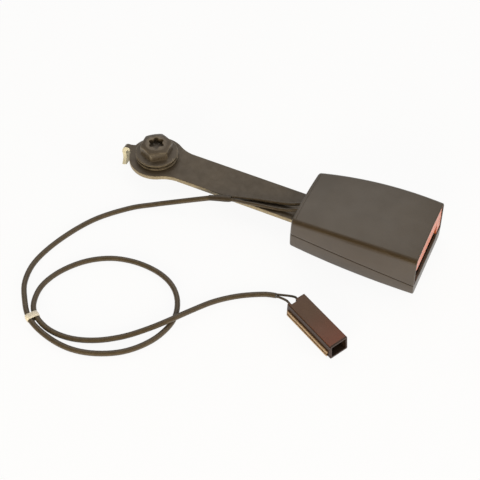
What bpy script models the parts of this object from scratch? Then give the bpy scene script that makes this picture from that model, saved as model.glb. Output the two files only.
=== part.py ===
"""Front seat belt buckle on a rigid stalk, with its anchor bolt, warning sensor and lead.

Frame: +X runs along the stalk from the anchor bolt to the mouth of the buckle, +Z is up.
While it is built the bolt's axis is x = 0 and the table is z = 0. The last step moves all
pieces so that the origin is below the middle of the rigid pieces.
"""
import math

import bmesh
import bpy
from mathutils import Matrix, Vector

for old in list(bpy.data.objects):
    bpy.data.objects.remove(old, do_unlink=True)

MM = 0.001

# General clearances
CLEAR = 0.3 * MM
SEAM_GAP = 0.4 * MM
CUT_PAST = 1.0 * MM

# Stalk
STALK_WIDTH = 25.0 * MM
STALK_THICK = 3.0 * MM
STALK_UNDER = 9.0 * MM
LUG_RADIUS = 18.8 * MM
LUG_FLARE_RADIUS = 22.0 * MM
LUG_STEPS = 14
FLARE_STEPS = 8
STALK_END_RADIUS = 3.0 * MM
TAB_REACH = 26.2 * MM
TAB_BEND_RADIUS = 4.2 * MM
TAB_LEAN = math.radians(16.0)
TAB_START = 12.6 * MM
TAB_MIDDLE = 0.5 * MM
TAB_ROOT_HALF = 4.9 * MM
TAB_NECK_HALF = 1.9 * MM
TAB_FOOT_HALF = 6.0 * MM
TAB_TOE_RADIUS = 1.8 * MM
TAB_SOFT = 0.35 * MM
STALK_TOP = STALK_UNDER + STALK_THICK

# Buckle housing
BUCKLE_REAR = 108.4 * MM
BUCKLE_LENGTH = 80.0 * MM
REAR_HALF_WIDTH = 24.54 * MM
FRONT_HALF_WIDTH = 27.62 * MM
SIDE_BOW = 1.75 * MM
REAR_HEIGHT = 24.55 * MM
FRONT_HEIGHT = 31.35 * MM
TOP_BOW = 2.42 * MM
TOP_CROWN = 1.3 * MM
TOP_END_DROP = 0.3
SIDE_DRAFT = 0.3 * MM
LOWER_DRAFT = 0.45 * MM
FRONT_RAKE = 2.0 * MM
PARTING_HEIGHT = 9.6 * MM
WALL = 1.9 * MM
TOP_EDGE_RADIUS = 3.8 * MM
REAR_CORNER_RADIUS = 2.6 * MM
FRONT_CORNER_RADIUS = 2.2 * MM
BOTTOM_EDGE_RADIUS = 3.0 * MM
LIP_THICK = 1.0 * MM
LIP_RISE = 2.0 * MM
MOUTH_ROOF = 1.9 * MM
MOUTH_SIDE = 2.9 * MM
MOUTH_CORNER = 2.4 * MM
MOUTH_PAST = 6.0 * MM
HOLLOW_FRONT_RADIUS = 1.0 * MM
REAR_OPENING_CORNER = 1.5 * MM
ROOF_RIB_THICK = 2.0 * MM
ROOF_RIB_EXTRA = 0.2 * MM
SPRING_BOSS_WALL = 1.2 * MM
POST_RADIUS = 2.2 * MM
POST_SPREAD = 11.0 * MM
LIP_START = 8.0 * MM
LIP_END = BUCKLE_LENGTH - 12.0 * MM
LIP_SPANS = 6
LIP_LOW = 3.0 * MM

# Steel frame
FRAME_THICK = 2.0 * MM
FRAME_INNER_HALF = 15.5 * MM
FRAME_WALL_TOP = 20.6 * MM
FRAME_START = 6.0 * MM
FRAME_LOW_WALL = 12.0 * MM
FRAME_BEND = 1.4 * MM
FRAME_STEP_RUN = 5.0 * MM
FRAME_OVER_SLOT = 1.2 * MM
FRAME_STEP_BACK = 1.0 * MM
FRAME_FLOOR_TOP = STALK_UNDER - CLEAR
FRAME_FLOOR_UNDER = FRAME_FLOOR_TOP - FRAME_THICK
FRAME_OUTER_HALF = FRAME_INNER_HALF + FRAME_THICK
RIVET_RADIUS = 3.0 * MM
RIVET_HEAD_RADIUS = 4.6 * MM
RIVET_HEAD = 0.8 * MM
RIVET_REAR_AT = 10.5 * MM
RIVET_FRONT_AT = 20.2 * MM
STALK_PAST_RIVET = 3.8 * MM
STALK_IN_BUCKLE = RIVET_FRONT_AT + STALK_PAST_RIVET

# Latch and its pin
LATCH_PIVOT_HEIGHT = 17.3 * MM
LATCH_THICK = 2.0 * MM
LATCH_HALF_WIDTH = 10.0 * MM
LATCH_REACH = 29.0 * MM
LATCH_NOSE_DEPTH = 2.6 * MM
LATCH_NOSE_HALF = 5.4 * MM
LATCH_BARREL_RADIUS = 3.2 * MM
LATCH_LIFT_ANGLE = math.radians(8.0)
LATCH_EAR_WIDTH = 3.2 * MM
PIN_RADIUS = 1.5 * MM
PIN_HEAD_RADIUS = 2.5 * MM
PIN_HEAD = 0.9 * MM

# Release button with its cross bar and springs
BUTTON_TRAVEL = 6.0 * MM
BUTTON_SET_BACK = 0.6 * MM
BUTTON_GAP = 0.35 * MM
BUTTON_DEPTH = 9.0 * MM
BUTTON_WALL = 1.6 * MM
BUTTON_DISH = 0.9 * MM
BUTTON_LOW = 15.6 * MM
EAR_LOW = 10.4 * MM
EAR_STEP = 0.15 * MM
LEG_THICK = 2.4 * MM
LEG_HEIGHT = 4.2 * MM
BAR_HEIGHT = 14.9 * MM
BAR_RADIUS = 1.6 * MM
BUTTON_SPRING_HALF_SPREAD = 10.0 * MM
BUTTON_SPRING_HEIGHT = 20.6 * MM
BUTTON_SPRING_RADIUS = 2.6 * MM
BUTTON_SPRING_WIRE = 0.4 * MM
BUTTON_SPRING_TURNS = 7
PEG_RADIUS = 1.8 * MM
PEG_LENGTH = 3.0 * MM

# Tongue guide
SLOT_HALF_WIDTH = 14.4 * MM
SLOT_HEIGHT = 4.4 * MM
SLOT_FUNNEL = 0.9 * MM
GUIDE_SET_BACK = 0.7 * MM
GUIDE_LENGTH = 20.3 * MM
GUIDE_WALL = 2.0 * MM
GUIDE_WALL_TOP = 24.2 * MM

# Ejector
EJECTOR_TRAVEL = 14.0 * MM
EJECTOR_BODY = 5.0 * MM
EJECTOR_LENGTH = 16.0 * MM
EJECTOR_IN_GUIDE = 2.0 * MM
EJECTOR_THICK = 3.4 * MM
EJECTOR_ARM_INNER = 7.2 * MM
EJECTOR_SPRING_RADIUS = 1.42 * MM
EJECTOR_SPRING_WIRE = 0.3 * MM
EJECTOR_SPRING_TURNS = 9
EJECTOR_PEG_RADIUS = 0.8 * MM
EJECTOR_PEG_LENGTH = 3.5 * MM
MAGNET_LENGTH = 3.0 * MM
MAGNET_HALF_WIDTH = 2.0 * MM
MAGNET_DEPTH = 1.6 * MM

# Latch spring
LATCH_SPRING_RADIUS = 2.3 * MM
LATCH_SPRING_WIRE = 0.4 * MM
LATCH_SPRING_TURNS = 5
LATCH_SPRING_LENGTH = 5.2 * MM
LATCH_PEG_RADIUS = 1.5 * MM
LATCH_PEG_LENGTH = 1.4 * MM

# Belt warning sensor
SENSOR_START = 4.0 * MM
SENSOR_NEAR = -11.0 * MM
SENSOR_FAR = 4.0 * MM
SENSOR_HEIGHT = 4.6 * MM
SENSOR_WALL = 1.0 * MM
BOARD_THICK = 1.0 * MM
CRIMP_LENGTH = 3.4 * MM
CRIMP_HALF_WIDTH = 1.2 * MM
CRIMP_THICK = 0.7 * MM
CHIP_LENGTH = 3.2 * MM
CHIP_HALF_WIDTH = 2.1 * MM
CHIP_THICK = 0.8 * MM

# Anchor bolt and its stack
BOLT_HEX_FLATS = 19.0 * MM
BOLT_CHAMFER_TOP = 6.5 * MM
BOLT_CHAMFER_SLOPE = 0.67
BOLT_HEX_TURN = math.radians(-22.0)
BOLT_FLANGE_RADIUS = 14.2 * MM
BOLT_FLANGE_THICK = 1.6 * MM
BOLT_HEAD_HEIGHT = 8.8 * MM
BOLT_SHANK_RADIUS = 6.0 * MM
BOLT_TIP_RADIUS = 4.8 * MM
BOLT_TIP_TAPER = 1.6 * MM
STAR_RADIUS = 4.6 * MM
STAR_LOBE = 0.62 * MM
STAR_DEPTH = 5.0 * MM
WASHER_THICK = 1.4 * MM
WASHER_RADIUS = 14.2 * MM
WAVE_THICK = 0.6 * MM
WAVE_RADIUS = 11.0 * MM
WAVE_HEIGHT = 0.25 * MM
BUSH_WALL = 2.2 * MM
BUSH_FLANGE_RADIUS = 11.4 * MM
BUSH_FLANGE_THICK = 1.8 * MM
RETAINER_RADIUS = 9.6 * MM
RETAINER_THICK = 1.6 * MM

# Lead, cable, tie and plug
LEAD_DIAMETER = 2.2 * MM
CABLE_DIAMETER = 3.4 * MM
WIRE_DIAMETER = 1.5 * MM
SLEEVE_LENGTH = 6.0 * MM
SLEEVE_WALL = 0.5 * MM
JOINT_SLEEVE_DIAMETER = 4.1 * MM
TIE_WIDTH = 5.0 * MM
TIE_THICK = 0.5 * MM
TIE_CLEAR = 0.55 * MM
PLUG_LENGTH = 39.0 * MM
PLUG_WIDTH = 14.2 * MM
PLUG_HEIGHT = 10.0 * MM
PLUG_TURN = math.radians(-27.6)
PLUG_REAR_X = 127.2 * MM
PLUG_REAR_Y = -73.1 * MM
PLUG_WALL = 1.3 * MM
PLUG_SOCKET_DEPTH = 16.0 * MM
PLUG_NOTCH = 1.8 * MM
PLUG_NOTCH_NEAR = 1.7 * MM
PLUG_NOTCH_LOW = 2.4 * MM
PLUG_RIB = 1.0 * MM
PLUG_RIB_START = 1.0 * MM
PLUG_RIB_LOW = 3.0 * MM
PLUG_RIB_HIGH = 5.0 * MM
PLUG_FOOT_LOW = 0.6 * MM
PLUG_FOOT_HIGH = 1.8 * MM
PLUG_RAKE = 1.6 * MM
PLUG_CORNER = 0.9 * MM
TERMINAL_LENGTH = 9.0 * MM
TERMINAL_HALF_WIDTH = 1.3 * MM
TERMINAL_THICK = 0.8 * MM
TERMINAL_ROOT = 3.0 * MM

# Places along the housing, from its rear, counted back from the mouth
FRAME_BEHIND_BUTTON = 1.0 * MM
LATCH_TO_GUIDE = 3.0 * MM
BAR_TO_NOSE = 3.4 * MM
SPRING_TO_PIVOT = 15.0 * MM
SENSOR_TO_PIVOT = 5.0 * MM
STEP_TO_PIVOT = 4.0 * MM
REAR_RIB_TO_PIVOT = 7.0 * MM
FRONT_RIB_TO_GUIDE = 2.0 * MM
POST_IN_GUIDE = 3.0 * MM
GUIDE_FRONT = BUCKLE_LENGTH - GUIDE_SET_BACK
GUIDE_REAR = GUIDE_FRONT - GUIDE_LENGTH
FRAME_END = BUCKLE_LENGTH - BUTTON_DEPTH - FRAME_BEHIND_BUTTON
LATCH_FRONT = GUIDE_REAR - LATCH_TO_GUIDE
LATCH_PIVOT_AT = LATCH_FRONT - LATCH_REACH
LATCH_SPRING_AT = LATCH_PIVOT_AT + SPRING_TO_PIVOT
FRAME_STEP_START = LATCH_PIVOT_AT - STEP_TO_PIVOT
SENSOR_END = LATCH_PIVOT_AT - SENSOR_TO_PIVOT
BAR_AT = LATCH_FRONT - LATCH_NOSE_DEPTH - BAR_TO_NOSE
EJECTOR_TIP = GUIDE_REAR + EJECTOR_IN_GUIDE
EJECTOR_BACK = EJECTOR_TIP - EJECTOR_LENGTH
ROOF_RIB_REAR_AT = LATCH_PIVOT_AT + REAR_RIB_TO_PIVOT
ROOF_RIB_FRONT_AT = GUIDE_REAR - FRONT_RIB_TO_GUIDE
POST_FRONT_AT = GUIDE_REAR + POST_IN_GUIDE

ROUND_STEPS = 24


def material(name, colour, roughness, metallic=0.0):
    made = bpy.data.materials.new(name)
    made.use_nodes = True
    shader = made.node_tree.nodes["Principled BSDF"]
    shader.inputs["Base Color"].default_value = (*colour, 1.0)
    shader.inputs["Roughness"].default_value = roughness
    shader.inputs["Metallic"].default_value = metallic
    return made


COVER_BLACK = (0.035, 0.031, 0.028)
STEEL_BLACK = (0.045, 0.042, 0.04)
STEEL_BARE = (0.42, 0.41, 0.39)
BUTTON_RED = (0.55, 0.06, 0.035)
PLUG_BROWN = (0.1, 0.055, 0.035)
NATURAL = (0.55, 0.52, 0.45)
TAPE_WHITE = (0.75, 0.73, 0.68)
BOARD_GREEN = (0.03, 0.16, 0.07)
BRASS = (0.55, 0.42, 0.2)
LEAD_BLACK = (0.03, 0.027, 0.025)


def finish(obj, colour, roughness, metallic=0.0, pivot=None):
    """Give a piece its own material, clean normals, soft shading and its pivot."""
    mesh = obj.data
    work = bmesh.new()
    work.from_mesh(mesh)
    bmesh.ops.remove_doubles(work, verts=work.verts, dist=0.000001)
    bmesh.ops.recalc_face_normals(work, faces=work.faces)
    work.to_mesh(mesh)
    work.free()
    mesh.materials.clear()
    mesh.materials.append(material(obj.name, colour, roughness, metallic))
    mesh.shade_smooth()
    mesh.set_sharp_from_angle(angle=math.radians(35.0))
    if pivot is not None:
        offset = Vector(pivot)
        mesh.transform(matrix_shift(-offset))
        obj.location = offset
    return obj


def matrix_shift(offset):
    return Matrix.Translation(offset)


def solid(name, verts, faces):
    mesh = bpy.data.meshes.new(name)
    mesh.from_pydata([tuple(v) for v in verts], [], faces)
    obj = bpy.data.objects.new(name, mesh)
    bpy.context.scene.collection.objects.link(obj)
    work = bmesh.new()
    work.from_mesh(mesh)
    bmesh.ops.recalc_face_normals(work, faces=work.faces)
    work.to_mesh(mesh)
    work.free()
    return obj


def loft(name, rings):
    """Skin closed rings of equal length and cap both ends."""
    count = len(rings[0])
    verts = [p for ring in rings for p in ring]
    faces = [tuple(reversed(range(count)))]
    for step in range(len(rings) - 1):
        base = step * count
        for k in range(count):
            nxt = (k + 1) % count
            faces.append((base + k, base + nxt, base + count + nxt, base + count + k))
    last = (len(rings) - 1) * count
    faces.append(tuple(range(last, last + count)))
    return solid(name, verts, faces)


def prism(name, outline, low, high, axis):
    """Extrude a flat outline along one axis. Outline order: the two other axes in turn."""
    rings = []
    for level in (low, high):
        if axis == "x":
            rings.append([(level, a, b) for a, b in outline])
        elif axis == "y":
            rings.append([(a, level, b) for a, b in outline])
        else:
            rings.append([(a, b, level) for a, b in outline])
    return loft(name, rings)


def box(name, x0, x1, y0, y1, z0, z1):
    return prism(name, [(x0, y0), (x1, y0), (x1, y1), (x0, y1)], z0, z1, "z")


def circle(radius, centre=(0.0, 0.0), steps=ROUND_STEPS):
    points = []
    for k in range(steps):
        angle = 2.0 * math.pi * k / steps
        points.append((centre[0] + radius * math.cos(angle), centre[1] + radius * math.sin(angle)))
    return points


def lathe(name, profile, centre, axis="z", ring=False, steps=ROUND_STEPS):
    """Turn (radius, height) points about an axis. A ring closes on itself, else ends are capped."""
    verts = []
    for radius, height in profile:
        for a, b in circle(radius, steps=steps):
            if axis == "z":
                verts.append((centre[0] + a, centre[1] + b, centre[2] + height))
            elif axis == "y":
                verts.append((centre[0] + a, centre[1] + height, centre[2] + b))
            else:
                verts.append((centre[0] + height, centre[1] + a, centre[2] + b))
    faces = []
    rows = len(profile)
    for row in range(rows if ring else rows - 1):
        base = row * steps
        over = ((row + 1) % rows) * steps
        for k in range(steps):
            nxt = (k + 1) % steps
            faces.append((base + k, base + nxt, over + nxt, over + k))
    if not ring:
        faces.append(tuple(reversed(range(steps))))
        faces.append(tuple(range((rows - 1) * steps, rows * steps)))
    return solid(name, verts, faces)


def rod(name, radius, start, end, axis, centre, steps=ROUND_STEPS):
    return lathe(name, [(radius, start), (radius, end)], centre, axis, steps=steps)


def combine(target, tools, operation):
    """Join or cut with exact booleans, then drop the tools."""
    for tool in tools:
        tool.hide_render = True
        tool.display_type = "WIRE"
        step = target.modifiers.new(operation, "BOOLEAN")
        step.operation = operation
        step.solver = "EXACT"
        step.object = tool
        bpy.context.view_layer.update()
        graph = bpy.context.evaluated_depsgraph_get()
        made = bpy.data.meshes.new_from_object(target.evaluated_get(graph))
        target.modifiers.clear()
        target.data = made
    for tool in tools:
        bpy.data.objects.remove(tool, do_unlink=True)
    return target


def cut(target, *tools):
    return combine(target, tools, "DIFFERENCE")


def join(target, *tools):
    return combine(target, tools, "UNION")


def coil(name, start, axis, length, radius, wire, turns, sides=6, per_turn=12):
    """A compression spring whose end turns lie close."""
    count = turns * per_turn
    rings = []
    run = length - 2.0 * wire
    for k in range(count + 1):
        part = k / count
        angle = 2.0 * math.pi * turns * part
        rise = wire + run * (part - math.sin(2.0 * math.pi * part) / (2.0 * math.pi) * 0.55)
        ring = []
        for s in range(sides):
            turn = 2.0 * math.pi * s / sides
            reach = radius + wire * math.cos(turn)
            along = rise + wire * math.sin(turn)
            a = reach * math.cos(angle)
            b = reach * math.sin(angle)
            if axis == "x":
                ring.append((start[0] + along, start[1] + a, start[2] + b))
            else:
                ring.append((start[0] + a, start[1] + b, start[2] + along))
        rings.append(ring)
    return loft(name, rings)


def smooth_route(points, spacing):
    """Points at an even spacing on a smooth curve through the route's own points."""
    pts = [Vector(p) for p in points]
    dense = []
    for k in range(len(pts) - 1):
        p0 = pts[max(k - 1, 0)]
        p1 = pts[k]
        p2 = pts[k + 1]
        p3 = pts[min(k + 2, len(pts) - 1)]
        for s in range(16):
            t = s / 16.0
            a = p1 * 2.0
            b = (p2 - p0) * t
            c = (p0 * 2.0 - p1 * 5.0 + p2 * 4.0 - p3) * (t * t)
            d = (p1 * 3.0 - p0 - p2 * 3.0 + p3) * (t * t * t)
            dense.append((a + b + c + d) * 0.5)
    dense.append(pts[-1])
    reach = [0.0]
    for k in range(1, len(dense)):
        reach.append(reach[-1] + (dense[k] - dense[k - 1]).length)
    count = max(2, round(reach[-1] / spacing))
    even = []
    at = 0
    for k in range(count + 1):
        want = reach[-1] * k / count
        while at < len(reach) - 2 and reach[at + 1] < want:
            at += 1
        span = reach[at + 1] - reach[at]
        part = (want - reach[at]) / span if span > 0.0 else 0.0
        even.append(dense[at].lerp(dense[at + 1], part))
    return even


def cord(name, points, diameter, colour, roughness):
    """A plain tube along a smooth route."""
    curve = bpy.data.curves.new(name, "CURVE")
    curve.dimensions = "3D"
    curve.bevel_depth = 0.5 * diameter
    curve.bevel_resolution = 2
    curve.use_fill_caps = True
    route = smooth_route(points, 2.6 * diameter)
    spline = curve.splines.new("POLY")
    spline.points.add(len(route) - 1)
    for point, place in zip(spline.points, route):
        point.co = (place.x, place.y, place.z, 1.0)
    curve.materials.append(material(name, colour, roughness))
    obj = bpy.data.objects.new(name, curve)
    bpy.context.scene.collection.objects.link(obj)
    return obj


def in_buckle(along):
    return BUCKLE_REAR + along


# Housing form shared by both covers

def bow(part):
    return 4.0 * part * (1.0 - part)


def half_width(part):
    return REAR_HALF_WIDTH + (FRONT_HALF_WIDTH - REAR_HALF_WIDTH) * part + SIDE_BOW * bow(part)


def top_height(part):
    return REAR_HEIGHT + (FRONT_HEIGHT - REAR_HEIGHT) * part + TOP_BOW * bow(part)


def raked(x, height):
    part = (x - BUCKLE_REAR) / BUCKLE_LENGTH
    return x + FRONT_RAKE * part * part * (1.0 - height / FRONT_HEIGHT)


def stations(start, end, rear_radius, front_radius, middle=7):
    """Pairs of position and inset that round both ends of the housing."""
    out = []
    for k in range(4):
        angle = math.radians(30.0 * k)
        out.append((start + rear_radius * (1.0 - math.cos(angle)), rear_radius * (1.0 - math.sin(angle))))
    inner_start = start + rear_radius
    inner_end = end - front_radius
    for k in range(1, middle):
        out.append((inner_start + (inner_end - inner_start) * k / middle, 0.0))
    for k in range(3, -1, -1):
        angle = math.radians(30.0 * k)
        out.append((end - front_radius * (1.0 - math.cos(angle)), front_radius * (1.0 - math.sin(angle))))
    return out


def upper_ring(x, inset, shrink, base):
    """One cross section of the upper cover, from the near seam over the top to the far seam."""
    part = (x - BUCKLE_REAR) / BUCKLE_LENGTH
    half = half_width(part) - inset - shrink
    top = top_height(part) - TOP_END_DROP * inset - shrink
    radius = max(TOP_EDGE_RADIUS - shrink, 1.2 * MM)
    knee = half - SIDE_DRAFT
    side = [(half, base), (half - 0.25 * SIDE_DRAFT, 0.5 * (base + top - radius))]
    for k in range(6):
        angle = math.radians(18.0 * k)
        side.append((knee - radius * (1.0 - math.cos(angle)), top - radius * (1.0 - math.sin(angle))))
    flat = knee - radius
    for k in range(1, 4):
        across = flat * (1.0 - k / 3.0)
        side.append((across, top + TOP_CROWN * (1.0 - (across / flat) ** 2)))
    ring = [(raked(x, z), -y, z) for y, z in side]
    ring += [(raked(x, z), y, z) for y, z in reversed(side[:-1])]
    return ring


def lower_ring(x, inset, shrink, floor, top):
    """One cross section of the lower cover, from the near seam round the bottom to the far seam."""
    part = (x - BUCKLE_REAR) / BUCKLE_LENGTH
    half = half_width(part) - inset - shrink
    base = floor + 0.6 * inset
    radius = max(BOTTOM_EDGE_RADIUS - shrink, 1.0 * MM)
    knee = half - LOWER_DRAFT
    side = [(half, top)]
    for k in range(5):
        angle = math.radians(22.5 * k)
        side.append((knee - radius * (1.0 - math.cos(angle)), base + radius * (1.0 - math.sin(angle))))
    ring = [(raked(x, z), -y, z) for y, z in side]
    ring += [(raked(x, z), y, z) for y, z in reversed(side)]
    return ring


def rounded_outline(half, low, high, radius, low_radius=0.0):
    points = [(-half, low), (half, low)]
    if low_radius > 0.0:
        points = []
        for k in range(4):
            angle = math.radians(180.0 + 30.0 * k)
            points.append((-half + low_radius + low_radius * math.cos(angle),
                           low + low_radius + low_radius * math.sin(angle)))
        for k in range(4):
            angle = math.radians(270.0 + 30.0 * k)
            points.append((half - low_radius + low_radius * math.cos(angle),
                           low + low_radius + low_radius * math.sin(angle)))
    for k in range(4):
        angle = math.radians(30.0 * k)
        points.append((half - radius + radius * math.cos(angle), high - radius + radius * math.sin(angle)))
    for k in range(4):
        angle = math.radians(90.0 + 30.0 * k)
        points.append((-half + radius + radius * math.cos(angle), high - radius + radius * math.sin(angle)))
    return points


MOUTH_X = BUCKLE_REAR + BUCKLE_LENGTH
SENSOR_LOW = STALK_TOP + CLEAR + RIVET_HEAD + CLEAR
SENSOR_TOP = SENSOR_LOW + SENSOR_HEIGHT
BOARD_LOW = SENSOR_LOW + SENSOR_WALL + CLEAR
BOARD_TOP = BOARD_LOW + BOARD_THICK
LEAD_HEIGHT = BOARD_TOP + CLEAR + 0.5 * CRIMP_THICK
REAR_OPENING_TOP = LEAD_HEIGHT + 0.5 * LEAD_DIAMETER + SLEEVE_WALL + 2.0 * CLEAR
SEAM_TOP = PARTING_HEIGHT + SEAM_GAP
MOUTH_HALF = FRONT_HALF_WIDTH - MOUTH_SIDE
MOUTH_TOP = FRONT_HEIGHT - MOUTH_ROOF


def make_upper_cover():
    outer = [upper_ring(x, inset, 0.0, SEAM_TOP)
             for x, inset in stations(BUCKLE_REAR, MOUTH_X, REAR_CORNER_RADIUS, FRONT_CORNER_RADIUS)]
    cover = loft("upper_cover", outer)
    hollow = [upper_ring(x, inset, WALL, SEAM_TOP - CUT_PAST)
              for x, inset in stations(BUCKLE_REAR + WALL, MOUTH_X - WALL,
                                       REAR_CORNER_RADIUS - WALL, HOLLOW_FRONT_RADIUS)]
    cut(cover, loft("hollow", hollow))
    mouth = prism("mouth", rounded_outline(MOUTH_HALF, SEAM_TOP - CUT_PAST, MOUTH_TOP, MOUTH_CORNER),
                  MOUTH_X - WALL - CUT_PAST, MOUTH_X + MOUTH_PAST, "x")
    cut(cover, mouth)
    half = 0.5 * STALK_WIDTH + 2.0 * CLEAR
    rear = prism("rear_opening", rounded_outline(half, SEAM_TOP - CUT_PAST, REAR_OPENING_TOP, REAR_OPENING_CORNER),
                 BUCKLE_REAR - CUT_PAST, BUCKLE_REAR + WALL + CUT_PAST, "x")
    cut(cover, rear)
    boss_base = LATCH_TOP + CLEAR + LATCH_SPRING_LENGTH + CLEAR
    boss_top = roof_inside(LATCH_SPRING_AT) + TOP_CROWN + 0.5 * WALL
    boss = rod("boss", LATCH_SPRING_RADIUS + SPRING_BOSS_WALL, boss_base, boss_top,
               "z", (in_buckle(LATCH_SPRING_AT), 0.0, 0.0), steps=16)
    ribs = []
    for along in (ROOF_RIB_REAR_AT, ROOF_RIB_FRONT_AT):
        for side in (-1.0, 1.0):
            inner = side * (FRAME_INNER_HALF - ROOF_RIB_EXTRA)
            outer_y = side * (FRAME_OUTER_HALF + ROOF_RIB_EXTRA)
            ribs.append(box("rib", in_buckle(along), in_buckle(along) + ROOF_RIB_THICK, min(inner, outer_y),
                            max(inner, outer_y), FRAME_WALL_TOP + CLEAR, roof_inside(along) + 0.5 * WALL))
    join(cover, boss, *ribs)
    return finish(cover, COVER_BLACK, 0.5)


def roof_inside(along):
    """Height of the upper cover's inner roof at its edge, at a distance from the rear."""
    return top_height(along / BUCKLE_LENGTH) - WALL


def make_lower_cover():
    spots = stations(BUCKLE_REAR, MOUTH_X, REAR_CORNER_RADIUS, FRONT_CORNER_RADIUS)
    cover = loft("lower_cover", [lower_ring(x, inset, 0.0, 0.0, PARTING_HEIGHT) for x, inset in spots])
    inner = stations(BUCKLE_REAR + WALL, MOUTH_X - WALL, REAR_CORNER_RADIUS - WALL, HOLLOW_FRONT_RADIUS)
    cut(cover, loft("hollow", [lower_ring(x, inset, WALL, WALL, PARTING_HEIGHT + CUT_PAST)
                               for x, inset in inner]))
    half = 0.5 * STALK_WIDTH + 2.0 * CLEAR
    cut(cover, box("stalk_notch", BUCKLE_REAR - CUT_PAST, BUCKLE_REAR + WALL + CUT_PAST, -half, half,
                   STALK_UNDER - CLEAR, PARTING_HEIGHT + CUT_PAST))
    cut(cover, box("mouth_notch", MOUTH_X - WALL - CUT_PAST, MOUTH_X + MOUTH_PAST,
                   -FRAME_OUTER_HALF, FRAME_OUTER_HALF, FRAME_FLOOR_TOP - 0.5 * MM,
                   PARTING_HEIGHT + CUT_PAST))
    lips = []
    for side in (-1.0, 1.0):
        rings = []
        for k in range(LIP_SPANS + 1):
            along = LIP_START + (LIP_END - LIP_START) * k / LIP_SPANS
            edge = half_width(along / BUCKLE_LENGTH)
            outer = edge - WALL - CLEAR
            section = [(outer - LIP_THICK, LIP_LOW), (edge - 0.6 * WALL, LIP_LOW),
                       (edge - 0.6 * WALL, PARTING_HEIGHT - CLEAR), (outer, PARTING_HEIGHT - CLEAR),
                       (outer, PARTING_HEIGHT + LIP_RISE), (outer - LIP_THICK, PARTING_HEIGHT + LIP_RISE)]
            rings.append([(in_buckle(along), side * y, z) for y, z in section])
        lips.append(loft("lip", rings))
    posts = []
    for along in (RIVET_REAR_AT, POST_FRONT_AT):
        for side in (-1.0, 1.0):
            posts.append(rod("post", POST_RADIUS, 0.5 * WALL, FRAME_FLOOR_UNDER - CLEAR, "z",
                             (in_buckle(along), side * POST_SPREAD, 0.0), steps=12))
    join(cover, *lips, *posts)
    return finish(cover, COVER_BLACK, 0.52)


LATCH_UNDER = LATCH_PIVOT_HEIGHT - 0.1 * MM
LATCH_TOP = LATCH_UNDER + LATCH_THICK


def tab_ring(centre, angle, half):
    """A cross section of the tab. The centre is the middle of the bend, carried along straight runs."""
    outer = TAB_BEND_RADIUS
    inner = TAB_BEND_RADIUS - STALK_THICK
    ring = []
    for reach, across in ((outer, half - TAB_SOFT), (outer - TAB_SOFT, half), (inner + TAB_SOFT, half),
                          (inner, half - TAB_SOFT), (inner, TAB_SOFT - half), (inner + TAB_SOFT, -half),
                          (outer - TAB_SOFT, -half), (outer, TAB_SOFT - half)):
        ring.append((centre[0] + reach * math.cos(angle), TAB_MIDDLE + across,
                     centre[1] + reach * math.sin(angle)))
    return ring


def eased(part):
    return part * part * (3.0 - 2.0 * part)


def make_tab():
    """Locating tab: it narrows to the bend, then widens to a rounded foot that leans in."""
    bend = (TAB_BEND_RADIUS - TAB_REACH, STALK_TOP - TAB_BEND_RADIUS)
    up = math.radians(90.0)
    turn = up + TAB_LEAN
    rings = []
    for k in range(5):
        part = k / 5.0
        x = -TAB_START + (bend[0] + TAB_START) * part
        half = TAB_ROOT_HALF + (TAB_NECK_HALF - TAB_ROOT_HALF) * eased(part)
        rings.append(tab_ring((x, bend[1]), up, half))
    steps = 9
    for k in range(steps + 1):
        part = k / steps
        half = TAB_NECK_HALF + 0.3 * (TAB_FOOT_HALF - TAB_NECK_HALF) * part * part
        rings.append(tab_ring(bend, up + turn * part, half))
    down = up + turn
    along = (-math.sin(down), math.cos(down))
    start_z = bend[1] + TAB_BEND_RADIUS * math.sin(down)
    length = start_z / -along[1]
    start_half = TAB_NECK_HALF + 0.3 * (TAB_FOOT_HALF - TAB_NECK_HALF)
    for k in range(1, 4):
        run = (length - TAB_TOE_RADIUS) * k / 3.0
        half = start_half + (TAB_FOOT_HALF - start_half) * eased(k / 3.0)
        rings.append(tab_ring((bend[0] + along[0] * run, bend[1] + along[1] * run), down, half))
    for k in range(1, 4):
        angle = math.radians(30.0 * k)
        run = length - TAB_TOE_RADIUS * (1.0 - math.sin(angle))
        half = TAB_FOOT_HALF - TAB_TOE_RADIUS * (1.0 - math.cos(angle))
        rings.append(tab_ring((bend[0] + along[0] * run, bend[1] + along[1] * run), down, half))
    return loft("tab", rings)


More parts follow.
